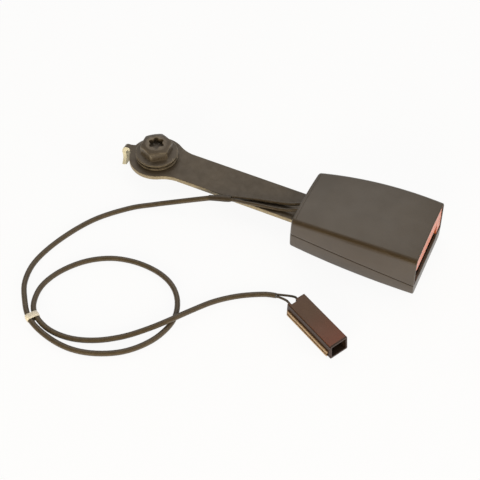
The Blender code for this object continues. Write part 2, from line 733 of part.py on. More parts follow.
def make_stalk():
    """Stamped strap: round lug, soft flare, straight run and rounded inner end."""
    half = 0.5 * STALK_WIDTH
    far = in_buckle(STALK_IN_BUCKLE)
    flare_y = half + LUG_FLARE_RADIUS
    flare_x = math.sqrt((LUG_RADIUS + LUG_FLARE_RADIUS) ** 2 - flare_y ** 2)
    meet = math.atan2(flare_y, flare_x)
    upper = []
    for k in range(LUG_STEPS + 1):
        angle = meet + (math.pi - meet) * (1.0 - k / LUG_STEPS)
        upper.append((LUG_RADIUS * math.cos(angle), LUG_RADIUS * math.sin(angle)))
    fillet_from = math.atan2(-flare_y, -flare_x)
    for k in range(1, FLARE_STEPS + 1):
        angle = fillet_from + (-0.5 * math.pi - fillet_from) * k / FLARE_STEPS
        upper.append((flare_x + LUG_FLARE_RADIUS * math.cos(angle),
                      flare_y + LUG_FLARE_RADIUS * math.sin(angle)))
    corner = STALK_END_RADIUS
    for k in range(4):
        angle = math.radians(90.0 - 30.0 * k)
        upper.append((far - corner + corner * math.cos(angle), half - corner + corner * math.sin(angle)))
    outline = upper + [(x, -y) for x, y in reversed(upper[1:])]
    stalk = prism("stalk", outline, STALK_UNDER, STALK_TOP, "z")
    join(stalk, make_tab())
    holes = [rod("bolt_hole", BUSH_OUTER + CLEAR, 0.0, STALK_TOP + CUT_PAST, "z", (0.0, 0.0, 0.0), steps=32)]
    for along in (RIVET_REAR_AT, RIVET_FRONT_AT):
        holes.append(rod("rivet_hole", RIVET_RADIUS + CLEAR, 0.0, STALK_TOP + CUT_PAST, "z",
                         (in_buckle(along), 0.0, 0.0), steps=20))
    cut(stalk, *holes)
    return finish(stalk, STEEL_BLACK, 0.4, 0.6)


BUSH_BORE = BOLT_SHANK_RADIUS + CLEAR
BUSH_OUTER = BUSH_BORE + BUSH_WALL


def make_anchor():
    washer_low = STALK_TOP + CLEAR
    washer_high = washer_low + WASHER_THICK
    bore = BOLT_SHANK_RADIUS + CLEAR
    washer = lathe("bolt_washer", [(bore, washer_low), (WASHER_RADIUS - 0.3 * MM, washer_low),
                                   (WASHER_RADIUS, washer_low + 0.3 * MM),
                                   (WASHER_RADIUS, washer_high - 0.3 * MM),
                                   (WASHER_RADIUS - 0.3 * MM, washer_high), (bore, washer_high)],
                   (0.0, 0.0, 0.0), ring=True, steps=36)
    finish(washer, STEEL_BLACK, 0.4, 0.6)
    wave_low = washer_high + CLEAR
    verts = []
    faces = []
    around = 36
    for k in range(around):
        angle = 2.0 * math.pi * k / around
        lift = WAVE_HEIGHT * (1.0 + math.cos(3.0 * angle))
        for radius, height in ((bore + 1.0 * MM, 0.0), (WAVE_RADIUS, 0.0), (WAVE_RADIUS, WAVE_THICK),
                               (bore + 1.0 * MM, WAVE_THICK)):
            verts.append((radius * math.cos(angle), radius * math.sin(angle), wave_low + height + lift))
    for k in range(around):
        nxt = (k + 1) % around
        for s in range(4):
            t = (s + 1) % 4
            faces.append((4 * k + s, 4 * nxt + s, 4 * nxt + t, 4 * k + t))
    finish(solid("wave_washer", verts, faces), STEEL_BARE, 0.35, 0.9)
    flange_low = wave_low + WAVE_THICK + 2.0 * WAVE_HEIGHT + CLEAR
    flange_high = flange_low + BOLT_FLANGE_THICK
    head_top = flange_low + BOLT_HEAD_HEIGHT
    profile = [(BOLT_TIP_RADIUS, 0.0), (BOLT_SHANK_RADIUS, BOLT_TIP_TAPER), (BOLT_SHANK_RADIUS, flange_low),
               (BOLT_FLANGE_RADIUS - 0.4 * MM, flange_low), (BOLT_FLANGE_RADIUS, flange_low + 0.4 * MM),
               (BOLT_FLANGE_RADIUS, flange_low + 0.9 * MM), (0.5 * BOLT_HEX_FLATS + 1.4 * MM, flange_high),
               (0.5 * BOLT_HEX_FLATS - 1.0 * MM, flange_high + 0.6 * MM)]
    bolt = lathe("anchor_bolt", profile, (0.0, 0.0, 0.0), steps=36)
    corner = BOLT_HEX_FLATS / math.sqrt(3.0)
    hexagon = []
    for k in range(6):
        angle = BOLT_HEX_TURN + math.radians(60.0 * k)
        hexagon.append((corner * math.cos(angle), corner * math.sin(angle)))
    head = prism("head", hexagon, flange_high - 0.4 * MM, head_top, "z")
    wide = corner + CUT_PAST
    low = head_top - BOLT_CHAMFER_SLOPE * (wide - BOLT_CHAMFER_TOP)
    chamfer = lathe("chamfer", [(wide, flange_low - CUT_PAST), (wide, low), (BOLT_CHAMFER_TOP, head_top),
                                (BOLT_CHAMFER_TOP, head_top + CUT_PAST)],
                    (0.0, 0.0, 0.0), steps=36)
    combine(head, [chamfer], "INTERSECT")
    join(bolt, head)
    star = []
    for k in range(36):
        angle = 2.0 * math.pi * k / 36.0
        reach = STAR_RADIUS - STAR_LOBE * (1.0 - math.cos(6.0 * angle))
        star.append((reach * math.cos(angle), reach * math.sin(angle)))
    cut(bolt, prism("star", star, head_top - STAR_DEPTH, head_top + CUT_PAST, "z"))
    finish(bolt, STEEL_BLACK, 0.35, 0.7, pivot=(0.0, 0.0, flange_low))
    bush_low = STALK_UNDER - CLEAR - BUSH_FLANGE_THICK
    flange_top = STALK_UNDER - CLEAR
    bush = lathe("spacer_bush", [(BUSH_BORE, bush_low), (BUSH_FLANGE_RADIUS, bush_low),
                                 (BUSH_FLANGE_RADIUS, flange_top), (BUSH_OUTER, flange_top),
                                 (BUSH_OUTER, STALK_TOP), (BUSH_BORE, STALK_TOP)],
                 (0.0, 0.0, 0.0), ring=True, steps=32)
    finish(bush, STEEL_BARE, 0.4, 0.9)
    ring_high = bush_low - CLEAR
    ring_low = ring_high - RETAINER_THICK
    ring = lathe("retaining_ring", [(bore, ring_low), (RETAINER_RADIUS - 0.4 * MM, ring_low),
                                    (RETAINER_RADIUS, ring_low + 0.4 * MM), (RETAINER_RADIUS, ring_high),
                                    (bore, ring_high)],
                 (0.0, 0.0, 0.0), ring=True, steps=28)
    finish(ring, NATURAL, 0.6)


def make_frame():
    outer = FRAME_OUTER_HALF
    inner = FRAME_INNER_HALF
    low = FRAME_FLOOR_UNDER
    floor = FRAME_FLOOR_TOP
    soft = FRAME_BEND
    section = [(-outer, FRAME_WALL_TOP), (-outer, low + soft)]
    section += [(-outer + 0.3 * soft, low + 0.3 * soft), (-outer + soft, low)]
    section += [(outer - soft, low), (outer - 0.3 * soft, low + 0.3 * soft), (outer, low + soft)]
    section += [(outer, FRAME_WALL_TOP), (inner, FRAME_WALL_TOP), (inner, floor), (-inner, floor),
                (-inner, FRAME_WALL_TOP)]
    frame = prism("frame", section, in_buckle(FRAME_START), in_buckle(FRAME_END), "x")
    past = outer + CUT_PAST
    rear = prism("rear_step", [(in_buckle(FRAME_START) - CUT_PAST, FRAME_LOW_WALL),
                               (in_buckle(FRAME_STEP_START) - FRAME_STEP_RUN, FRAME_LOW_WALL),
                               (in_buckle(FRAME_STEP_START), FRAME_WALL_TOP + CUT_PAST),
                               (in_buckle(FRAME_START) - CUT_PAST, FRAME_WALL_TOP + CUT_PAST)],
                 -past, past, "y")
    slot_low = BAR_HEIGHT - BAR_RADIUS - CLEAR
    slot_high = BAR_HEIGHT + BAR_RADIUS + CLEAR
    radius = BAR_RADIUS + CLEAR
    slot = []
    for k in range(7):
        angle = math.radians(-90.0 + 30.0 * k)
        slot.append((in_buckle(BAR_AT) + radius * math.cos(angle), BAR_HEIGHT + radius * math.sin(angle)))
    for k in range(7):
        angle = math.radians(90.0 + 30.0 * k)
        slot.append((in_buckle(BAR_AT - BUTTON_TRAVEL) + radius * math.cos(angle),
                     BAR_HEIGHT + radius * math.sin(angle)))
    bar_slot = prism("bar_slot", slot, -past, past, "y")
    pin = rod("pin_hole", PIN_RADIUS + CLEAR, -past, past, "y",
              (in_buckle(LATCH_PIVOT_AT), 0.0, LATCH_PIVOT_HEIGHT), steps=20)
    step_x = in_buckle(GUIDE_REAR) + GUIDE_WALL + FRAME_STEP_BACK
    clear_x = MOUTH_X - BUTTON_DEPTH - BUTTON_TRAVEL - 2.0 * CLEAR
    front = prism("front_step", [(step_x, FRAME_WALL_TOP + CUT_PAST),
                                 (step_x, slot_high + FRAME_OVER_SLOT),
                                 (clear_x, GUIDE_CEILING_TOP),
                                 (in_buckle(FRAME_END) + CUT_PAST, GUIDE_CEILING_TOP),
                                 (in_buckle(FRAME_END) + CUT_PAST, FRAME_WALL_TOP + CUT_PAST)],
                  -past, past, "y")
    window = box("nose_window", in_buckle(LATCH_PIVOT_AT + LATCH_REACH) - 5.0 * MM,
                 in_buckle(LATCH_PIVOT_AT + LATCH_REACH) + 2.4 * MM,
                 -LATCH_NOSE_HALF - 1.0 * MM, LATCH_NOSE_HALF + 1.0 * MM, 0.0, floor + CUT_PAST)
    holes = []
    for along in (RIVET_REAR_AT, RIVET_FRONT_AT):
        holes.append(rod("rivet_hole", RIVET_RADIUS + CLEAR, 0.0, floor + CUT_PAST, "z",
                         (in_buckle(along), 0.0, 0.0), steps=20))
    cut(frame, rear, bar_slot, pin, front, window, *holes)
    return finish(frame, STEEL_BARE, 0.4, 0.9)


def make_rivets():
    for name, along in (("frame_rivet_rear", RIVET_REAR_AT), ("frame_rivet_front", RIVET_FRONT_AT)):
        low = FRAME_FLOOR_UNDER - CLEAR
        high = STALK_TOP + CLEAR
        rivet = lathe(name, [(RIVET_HEAD_RADIUS - 0.4 * MM, low - RIVET_HEAD), (RIVET_HEAD_RADIUS, low - 0.4 * MM),
                             (RIVET_HEAD_RADIUS, low), (RIVET_RADIUS, low), (RIVET_RADIUS, high),
                             (RIVET_HEAD_RADIUS, high), (RIVET_HEAD_RADIUS, high + 0.4 * MM),
                             (RIVET_HEAD_RADIUS - 0.4 * MM, high + RIVET_HEAD)],
                      (in_buckle(along), 0.0, 0.0), steps=20)
        finish(rivet, STEEL_BARE, 0.35, 0.9)


def ear_outline():
    """Underside of the latch's lifting ears: it clears the cross bar at each step of its travel."""
    pivot_x = in_buckle(LATCH_PIVOT_AT)
    keep = BAR_RADIUS + CLEAR
    path = []
    for k in range(9):
        part = k / 8.0
        angle = LATCH_LIFT_ANGLE * part
        away = in_buckle(BAR_AT) - BUTTON_TRAVEL * part - pivot_x
        rise = BAR_HEIGHT - LATCH_PIVOT_HEIGHT
        path.append((away * math.cos(angle) + rise * math.sin(angle),
                     -away * math.sin(angle) + rise * math.cos(angle)))
    under = []
    for k, (away, rise) in enumerate(path):
        before = path[max(k - 1, 0)]
        after = path[min(k + 1, len(path) - 1)]
        run_x = after[0] - before[0]
        run_z = after[1] - before[1]
        size = math.hypot(run_x, run_z)
        normal = (-run_z / size, run_x / size)
        if normal[1] < 0.0:
            normal = (-normal[0], -normal[1])
        under.append((pivot_x + away + keep * normal[0], LATCH_PIVOT_HEIGHT + rise + keep * normal[1]))
    return under


def make_latch():
    pivot_x = in_buckle(LATCH_PIVOT_AT)
    front = pivot_x + LATCH_REACH
    half = LATCH_HALF_WIDTH
    plate = box("latch", pivot_x, front, -half, half, LATCH_UNDER, LATCH_TOP)
    barrel = rod("barrel", LATCH_BARREL_RADIUS, -FRAME_INNER_HALF + CLEAR, FRAME_INNER_HALF - CLEAR, "y",
                 (pivot_x, 0.0, LATCH_PIVOT_HEIGHT), steps=20)
    back = front - LATCH_NOSE_DEPTH
    nose_low = STALK_UNDER
    nose = prism("nose", [(back, LATCH_TOP - 0.5 * MM), (back, nose_low), (back + 0.5 * LATCH_NOSE_DEPTH, nose_low),
                          (front, nose_low + 2.6 * MM), (front, LATCH_TOP - 0.5 * MM)],
                 -LATCH_NOSE_HALF, LATCH_NOSE_HALF, "y")
    under = ear_outline()
    ears = []
    for side in (-1.0, 1.0):
        y0 = side * half
        y1 = side * (half - LATCH_EAR_WIDTH)
        outline = [(under[0][0], LATCH_TOP - 0.5 * MM)] + under
        outline += [(under[-1][0] - 2.0 * MM, under[-1][1]), (under[-1][0] - 5.0 * MM, LATCH_UNDER + 0.3 * MM),
                    (under[-1][0] - 5.0 * MM, LATCH_TOP - 0.5 * MM)]
        ears.append(prism("ear", outline, min(y0, y1), max(y0, y1), "y"))
    peg = rod("peg", LATCH_PEG_RADIUS, LATCH_TOP - 0.5 * MM, LATCH_TOP + LATCH_PEG_LENGTH, "z",
              (in_buckle(LATCH_SPRING_AT), 0.0, 0.0), steps=14)
    join(plate, barrel, nose, *ears, peg)
    cut(plate, rod("bore", PIN_RADIUS + CLEAR, -FRAME_OUTER_HALF, FRAME_OUTER_HALF, "y",
                   (pivot_x, 0.0, LATCH_PIVOT_HEIGHT), steps=20))
    finish(plate, STEEL_BARE, 0.35, 0.9, pivot=(pivot_x, 0.0, LATCH_PIVOT_HEIGHT))
    inside = FRAME_OUTER_HALF + CLEAR
    end = inside + PIN_HEAD
    pin = lathe("latch_pin", [(PIN_HEAD_RADIUS - 0.3 * MM, -end), (PIN_HEAD_RADIUS, -end + 0.3 * MM),
                              (PIN_HEAD_RADIUS, -inside), (PIN_RADIUS, -inside), (PIN_RADIUS, inside),
                              (PIN_HEAD_RADIUS, inside), (PIN_HEAD_RADIUS, end - 0.3 * MM),
                              (PIN_HEAD_RADIUS - 0.3 * MM, end)],
                (pivot_x, 0.0, LATCH_PIVOT_HEIGHT), "y", steps=16)
    finish(pin, STEEL_BARE, 0.3, 0.9)


def make_ejector():
    back = in_buckle(EJECTOR_BACK)
    body = back + EJECTOR_BODY
    tip = in_buckle(EJECTOR_TIP)
    wide = FRAME_INNER_HALF - CLEAR
    arm = EJECTOR_ARM_INNER
    soft = 1.0 * MM
    outline = [(back, -wide + soft), (back + soft, -wide), (tip - soft, -wide), (tip, -wide + soft),
               (tip, -arm - soft), (tip - soft, -arm), (body, -arm), (body, arm), (tip - soft, arm),
               (tip, arm + soft), (tip, wide - soft), (tip - soft, wide), (back + soft, wide),
               (back, wide - soft)]
    low = STALK_UNDER
    high = low + EJECTOR_THICK
    ejector = prism("ejector", outline, low, high, "z")
    peg = rod("peg", EJECTOR_PEG_RADIUS, back - EJECTOR_PEG_LENGTH, back + 0.5 * MM, "x",
              (0.0, 0.0, EJECTOR_SPRING_Z), steps=12)
    join(ejector, peg)
    x0 = back + 1.0 * MM
    y0 = -7.0 * MM - MAGNET_HALF_WIDTH
    y1 = -7.0 * MM + MAGNET_HALF_WIDTH
    cut(ejector, box("pocket", x0, x0 + MAGNET_LENGTH, y0, y1, high - MAGNET_DEPTH, high + CUT_PAST))
    pivot = (back, 0.0, low)
    finish(ejector, NATURAL, 0.45, pivot=pivot)
    magnet = box("ejector_magnet", x0 + CLEAR, x0 + MAGNET_LENGTH - CLEAR, y0 + CLEAR, y1 - CLEAR,
                 high - MAGNET_DEPTH + CLEAR, high)
    finish(magnet, STEEL_BARE, 0.3, 0.8, pivot=pivot)
    start = in_buckle(STALK_IN_BUCKLE) + CLEAR
    spring = coil("ejector_spring", (start, 0.0, EJECTOR_SPRING_Z), "x", back - CLEAR - start,
                  EJECTOR_SPRING_RADIUS, EJECTOR_SPRING_WIRE, EJECTOR_SPRING_TURNS, sides=5, per_turn=10)
    finish(spring, STEEL_BARE, 0.3, 0.9)


EJECTOR_SPRING_Z = FRAME_FLOOR_TOP + CLEAR + EJECTOR_SPRING_RADIUS + EJECTOR_SPRING_WIRE
SLOT_FLOOR = FRAME_FLOOR_TOP + 0.2 * MM
SLOT_CEILING = SLOT_FLOOR + SLOT_HEIGHT
GUIDE_CEILING_TOP = BUTTON_LOW - 0.5 * MM


def make_guide():
    ring_back = in_buckle(FRAME_END) + CLEAR
    front = in_buckle(GUIDE_FRONT)
    wide = FRAME_OUTER_HALF - 0.1 * MM
    guide = prism("tongue_guide", rounded_outline(wide, WALL + CLEAR, GUIDE_CEILING_TOP, 1.0 * MM, 1.0 * MM),
                  ring_back, front, "x")
    narrow = FRAME_INNER_HALF - CLEAR
    ceiling = box("ceiling", in_buckle(GUIDE_REAR), ring_back + 1.0 * MM, -narrow, narrow,
                  SLOT_CEILING, GUIDE_CEILING_TOP - 0.2 * MM)
    upright = prism("upright", rounded_outline(narrow, SLOT_CEILING + 0.2 * MM, GUIDE_WALL_TOP, 2.0 * MM),
                    in_buckle(GUIDE_REAR) + 0.1 * MM, in_buckle(GUIDE_REAR) + GUIDE_WALL, "x")
    pegs = []
    for side in (-1.0, 1.0):
        pegs.append(rod("peg", PEG_RADIUS, in_buckle(GUIDE_REAR) + 0.5 * GUIDE_WALL,
                        in_buckle(GUIDE_REAR) + GUIDE_WALL + PEG_LENGTH, "x",
                        (0.0, side * BUTTON_SPRING_HALF_SPREAD, BUTTON_SPRING_HEIGHT), steps=14))
    join(guide, ceiling, upright, *pegs)
    slot = prism("slot", rounded_outline(SLOT_HALF_WIDTH, SLOT_FLOOR, SLOT_CEILING, 0.6 * MM, 0.6 * MM),
                 in_buckle(FRAME_END) - 2.0 * MM, front + CUT_PAST, "x")
    wide_mouth = rounded_outline(SLOT_HALF_WIDTH + SLOT_FUNNEL, SLOT_FLOOR - SLOT_FUNNEL,
                                 SLOT_CEILING + SLOT_FUNNEL, 0.8 * MM, 0.8 * MM)
    inner_mouth = rounded_outline(SLOT_HALF_WIDTH, SLOT_FLOOR, SLOT_CEILING, 0.6 * MM, 0.6 * MM)
    funnel = loft("funnel", [[(front - 4.0 * MM, y, z) for y, z in inner_mouth],
                             [(front + 0.1 * MM, y, z) for y, z in wide_mouth]])
    cut(guide, slot, funnel)
    return finish(guide, COVER_BLACK, 0.55)


def button_face(height):
    return raked(MOUTH_X, height) - BUTTON_SET_BACK


def make_button():
    half = MOUTH_HALF - BUTTON_GAP
    top = MOUTH_TOP - BUTTON_GAP
    back = MOUTH_X - BUTTON_DEPTH
    soft = 0.8 * MM
    rings = []
    for share in (-1.0, -0.72, -0.36, 0.0, 0.36, 0.72, 1.0):
        y = share * half
        dish = BUTTON_DISH * (1.0 - share * share)
        trim = MOUTH_CORNER * 0.6 if abs(share) == 1.0 else 0.0
        high = top - trim
        middle = 0.5 * (BUTTON_LOW + high)
        rings.append([(back, y, BUTTON_LOW), (button_face(BUTTON_LOW), y, BUTTON_LOW),
                      (button_face(middle) - dish, y, middle),
                      (button_face(high) - soft, y, high - 0.2 * soft), (back, y, high)])
    button = loft("release_button", rings)
    hollow = box("hollow", back - CUT_PAST, button_face(top) - BUTTON_DISH - soft - BUTTON_WALL,
                 -half + BUTTON_WALL, half - BUTTON_WALL, BUTTON_LOW + BUTTON_WALL,
                 top - BUTTON_WALL - MOUTH_CORNER * 0.3)
    cut(button, hollow)
    leg_inner = FRAME_OUTER_HALF + CLEAR
    leg_outer = leg_inner + LEG_THICK
    extras = []
    for side in (-1.0, 1.0):
        ear_in = side * (leg_inner + EAR_STEP)
        ear_out = side * (half - EAR_STEP)
        ear_top = BUTTON_LOW + 0.7 * BUTTON_WALL
        ear = prism("ear", [(back + 2.0 * MM, EAR_LOW), (button_face(EAR_LOW) - EAR_STEP, EAR_LOW),
                            (button_face(ear_top) - EAR_STEP, ear_top), (back + 2.0 * MM, ear_top)],
                    min(ear_in, ear_out), max(ear_in, ear_out), "y")
        leg = box("leg", in_buckle(BAR_AT) - 2.6 * MM, back + 4.0 * MM, min(side * leg_inner, side * leg_outer),
                  max(side * leg_inner, side * leg_outer), BAR_HEIGHT - 0.5 * LEG_HEIGHT,
                  BAR_HEIGHT + 0.5 * LEG_HEIGHT)
        seat = button_face(top) - BUTTON_DISH - soft - BUTTON_WALL
        peg = rod("peg", PEG_RADIUS, seat - PEG_LENGTH, seat + 0.5 * MM, "x",
                  (0.0, side * BUTTON_SPRING_HALF_SPREAD, BUTTON_SPRING_HEIGHT), steps=14)
        extras += [ear, leg, peg]
    join(button, *extras)
    cut(button, rod("bar_hole", BAR_RADIUS + CLEAR, -half - CUT_PAST, half + CUT_PAST, "y",
                    (in_buckle(BAR_AT), 0.0, BAR_HEIGHT), steps=20))
    pivot = (back, 0.0, BUTTON_LOW)
    finish(button, BUTTON_RED, 0.4, pivot=pivot)
    bar = lathe("lift_bar", [(BAR_RADIUS - 0.3 * MM, -leg_outer), (BAR_RADIUS, -leg_outer + 0.3 * MM),
                             (BAR_RADIUS, leg_outer - 0.3 * MM), (BAR_RADIUS - 0.3 * MM, leg_outer)],
                (in_buckle(BAR_AT), 0.0, BAR_HEIGHT), "y", steps=16)
    finish(bar, STEEL_BARE, 0.3, 0.9, pivot=pivot)
    start = in_buckle(GUIDE_REAR) + GUIDE_WALL + CLEAR
    for name, side in (("button_spring_left", -1.0), ("button_spring_right", 1.0)):
        spring = coil(name, (start, side * BUTTON_SPRING_HALF_SPREAD, BUTTON_SPRING_HEIGHT), "x",
                      seat - CLEAR - start, BUTTON_SPRING_RADIUS, BUTTON_SPRING_WIRE, BUTTON_SPRING_TURNS,
                      sides=5, per_turn=10)
        finish(spring, STEEL_BARE, 0.3, 0.9)


def make_latch_spring():
    spring = coil("latch_spring", (in_buckle(LATCH_SPRING_AT), 0.0, LATCH_TOP + CLEAR), "z",
                  LATCH_SPRING_LENGTH, LATCH_SPRING_RADIUS, LATCH_SPRING_WIRE, LATCH_SPRING_TURNS,
                  sides=5, per_turn=10)
    finish(spring, STEEL_BARE, 0.3, 0.9)


STRAND_DROP = 0.9 * MM
STRAND_RUN = 4.0 * MM
LEAD_FAR_Y = -1.0 * MM
LEAD_NEAR_Y = -6.4 * MM


def make_sensor():
    x0 = in_buckle(SENSOR_START)
    x1 = in_buckle(SENSOR_END)
    body = box("sensor_body", x0, x1, SENSOR_NEAR, SENSOR_FAR, SENSOR_LOW, SENSOR_TOP)
    tools = [box("pocket", x0 + SENSOR_WALL, x1 - SENSOR_WALL, SENSOR_NEAR + SENSOR_WALL,
                 SENSOR_FAR - SENSOR_WALL, SENSOR_LOW + SENSOR_WALL, SENSOR_TOP + CUT_PAST)]
    for y in (LEAD_FAR_Y, LEAD_NEAR_Y):
        reach = 0.5 * LEAD_DIAMETER + CLEAR
        tools.append(box("notch", x0 - CUT_PAST, x0 + SENSOR_WALL + CUT_PAST, y - reach, y + reach,
                         LEAD_HEIGHT - reach, SENSOR_TOP + CUT_PAST))
    cut(body, *tools)
    finish(body, COVER_BLACK, 0.5)
    bx0 = x0 + SENSOR_WALL + CLEAR
    bx1 = x1 - SENSOR_WALL - CLEAR
    board = box("sensor_board", bx0, bx1, SENSOR_NEAR + SENSOR_WALL + CLEAR, SENSOR_FAR - SENSOR_WALL - CLEAR,
                BOARD_LOW, BOARD_TOP)
    finish(board, BOARD_GREEN, 0.4)
    chip_y = 0.5 * (SENSOR_NEAR + SENSOR_FAR)
    chip = box("sensor_chip", bx1 - 1.0 * MM - CHIP_LENGTH, bx1 - 1.0 * MM, chip_y - CHIP_HALF_WIDTH,
               chip_y + CHIP_HALF_WIDTH, BOARD_TOP + CLEAR, BOARD_TOP + CLEAR + CHIP_THICK)
    finish(chip, COVER_BLACK, 0.3)
    crimp_x = x0 + SENSOR_WALL + 2.0 * CLEAR
    for name, y in (("lead_crimp_far", LEAD_FAR_Y), ("lead_crimp_near", LEAD_NEAR_Y)):
        crimp = prism(name, [(y - CRIMP_HALF_WIDTH, BOARD_TOP + CLEAR),
                             (y + CRIMP_HALF_WIDTH, BOARD_TOP + CLEAR),
                             (y + CRIMP_HALF_WIDTH, BOARD_TOP + CLEAR + 1.6 * CRIMP_THICK),
                             (y + 0.5 * CRIMP_HALF_WIDTH, BOARD_TOP + CLEAR + 1.6 * CRIMP_THICK),
                             (y + 0.5 * CRIMP_HALF_WIDTH, BOARD_TOP + CLEAR + CRIMP_THICK),
                             (y - 0.5 * CRIMP_HALF_WIDTH, BOARD_TOP + CLEAR + CRIMP_THICK),
                             (y - 0.5 * CRIMP_HALF_WIDTH, BOARD_TOP + CLEAR + 1.6 * CRIMP_THICK),
                             (y - CRIMP_HALF_WIDTH, BOARD_TOP + CLEAR + 1.6 * CRIMP_THICK)],
                      crimp_x, crimp_x + CRIMP_LENGTH, "x")
        finish(crimp, BRASS, 0.3, 0.9)


def plug_point(along, across, height):
    """A place on the plug, from its near rear bottom corner."""
    c = math.cos(PLUG_TURN)
    s = math.sin(PLUG_TURN)
    return (PLUG_REAR_X + along * c - across * s, PLUG_REAR_Y + along * s + across * c, height)


def turned(obj):
    """Carry a piece built at the plug's own axes to where the plug lies."""
    for vert in obj.data.vertices:
        vert.co = plug_point(vert.co.x, vert.co.y, vert.co.z)
    return obj


def plug_section(x, width, height, low, radius):
    ring = []
    for cx, cy, first in ((width - radius, low + radius, -90.0), (width - radius, height - radius, 0.0),
                          (radius, height - radius, 90.0), (radius, low + radius, 180.0)):
        for k in range(3):
            angle = math.radians(first + 45.0 * k)
            a = cx + radius * math.cos(angle)
            b = cy + radius * math.sin(angle)
            ring.append((x(b), a, b))
    return ring


PLUG_RAISE = 0.0
CAVITY_WIDTH = 2.0 * TERMINAL_HALF_WIDTH + 2.0 * CLEAR


def make_plug():
    body_width = PLUG_WIDTH - PLUG_RIB
    front = lambda z: PLUG_LENGTH + PLUG_RAKE * (1.0 - z / PLUG_HEIGHT)
    rear = lambda z: 0.0
    housing = loft("plug_housing", [plug_section(rear, body_width, PLUG_HEIGHT, PLUG_RAISE, PLUG_CORNER),
                                    plug_section(front, body_width, PLUG_HEIGHT, PLUG_RAISE, PLUG_CORNER)])
    rib_end = PLUG_LENGTH - PLUG_RIB_START
    inside = 0.5 * PLUG_WALL
    rib = box("rib", PLUG_RIB_START, rib_end, -PLUG_RIB, inside, PLUG_RIB_LOW, PLUG_RIB_HIGH)
    foot = box("foot", PLUG_RIB_START, rib_end, -PLUG_RIB, inside, PLUG_FOOT_LOW, PLUG_FOOT_HIGH)
    join(housing, rib, foot)
    width = body_width - 2.0 * PLUG_WALL
    socket = box("socket", PLUG_LENGTH - PLUG_SOCKET_DEPTH, PLUG_LENGTH + PLUG_RAKE + CUT_PAST, PLUG_WALL,
                 PLUG_WALL + width, PLUG_WALL, PLUG_HEIGHT - PLUG_WALL)
    step = box("step", -CUT_PAST, PLUG_NOTCH, PLUG_NOTCH_NEAR, 0.5 * body_width, PLUG_NOTCH_LOW,
               PLUG_HEIGHT + CUT_PAST)
    tools = [socket, step]
    for across in PLUG_WAYS:
        tools.append(box("way", -CUT_PAST, PLUG_LENGTH - PLUG_SOCKET_DEPTH + CUT_PAST,
                         across - 0.5 * CAVITY_WIDTH, across + 0.5 * CAVITY_WIDTH,
                         WIRE_HEIGHT - 0.5 * CAVITY_WIDTH, WIRE_HEIGHT + 0.5 * CAVITY_WIDTH))
    cut(housing, *tools)
    turned(housing)
    finish(housing, PLUG_BROWN, 0.45)
    for name, across in (("plug_terminal_near", PLUG_WAYS[0]), ("plug_terminal_far", PLUG_WAYS[1])):
        start = WIRE_IN + CLEAR
        low = WIRE_HEIGHT - 0.5 * TERMINAL_THICK
        high = WIRE_HEIGHT + 0.5 * TERMINAL_THICK
        end = PLUG_LENGTH - PLUG_SOCKET_DEPTH + TERMINAL_LENGTH
        near = across - TERMINAL_HALF_WIDTH
        far = across + TERMINAL_HALF_WIDTH
        blade = prism(name, [(start, near), (end - 1.0 * MM, near), (end, near + 0.6 * MM),
                             (end, far - 0.6 * MM), (end - 1.0 * MM, far), (start, far)], low, high, "z")
        root = box("root", start, start + TERMINAL_ROOT, near, far, low - 0.7 * MM, high + 0.7 * MM)
        join(blade, root)
        turned(blade)
        finish(blade, BRASS, 0.3, 0.9)


WIRE_HEIGHT = 0.5 * PLUG_HEIGHT
WIRE_IN = 18.0 * MM
PLUG_WAYS = (3.6 * MM, 9.6 * MM)


def lead_points(y):
    """A strand from the sensor out through the rear opening and along the stalk."""
    rest = STALK_TOP + CLEAR + 0.5 * LEAD_DIAMETER
    return [(in_buckle(SENSOR_START) + 0.6 * SENSOR_WALL, y, LEAD_HEIGHT),
            (in_buckle(1.0 * MM), y, LEAD_HEIGHT), (in_buckle(-3.0 * MM), y, LEAD_HEIGHT - 0.05 * MM)], rest


CORD_SPLIT = Vector((60.6 * MM, -15.0 * MM, STALK_TOP + 1.8 * MM))
CORD_SPLIT_END = Vector((49.7 * MM, -19.0 * MM, STALK_TOP + 1.1 * MM))

CABLE_ROUTE = [
    (49.2, -19.3, 13.0), (40.0, -22.5, 10.2), (28.4, -26.3, 6.3), (14.7, -32.4, 3.0),
    (1.0, -41.9, 1.9), (-14.4, -60.4, 1.9), (-24.7, -83.5, 1.9), (-29.2, -105.2, 1.9),
    (-26.4, -121.7, 1.9), (-18.4, -134.2, 2.1), (-8.2, -144.7, 2.9), (5.7, -150.3, 2.1),
    (22.6, -152.4, 1.9), (38.6, -149.0, 1.9), (53.9, -140.0, 1.9), (64.8, -125.9, 1.9),
    (69.0, -110.0, 1.9), (65.7, -96.6, 1.9), (57.2, -86.3, 1.9), (44.6, -80.5, 1.9),
    (28.3, -79.3, 1.9), (12.4, -83.1, 1.9), (-1.2, -92.4, 1.9), (-11.0, -106.0, 1.9),
    (-15.1, -120.2, 1.9), (-12.6, -133.0, 2.1), (-5.9, -141.3, 2.9), (6.0, -146.2, 2.1),
    (20.5, -146.0, 1.9), (34.8, -140.8, 1.9), (48.3, -132.0, 2.8), (59.7, -121.7, 4.7),
    (68.8, -111.0, 5.9), (76.3, -98.9, 4.6), (85.0, -85.8, 2.8), (96.3, -75.0, 1.9),
    (109.3, -67.2, 1.9), (116.8, -65.3, 2.6),
]


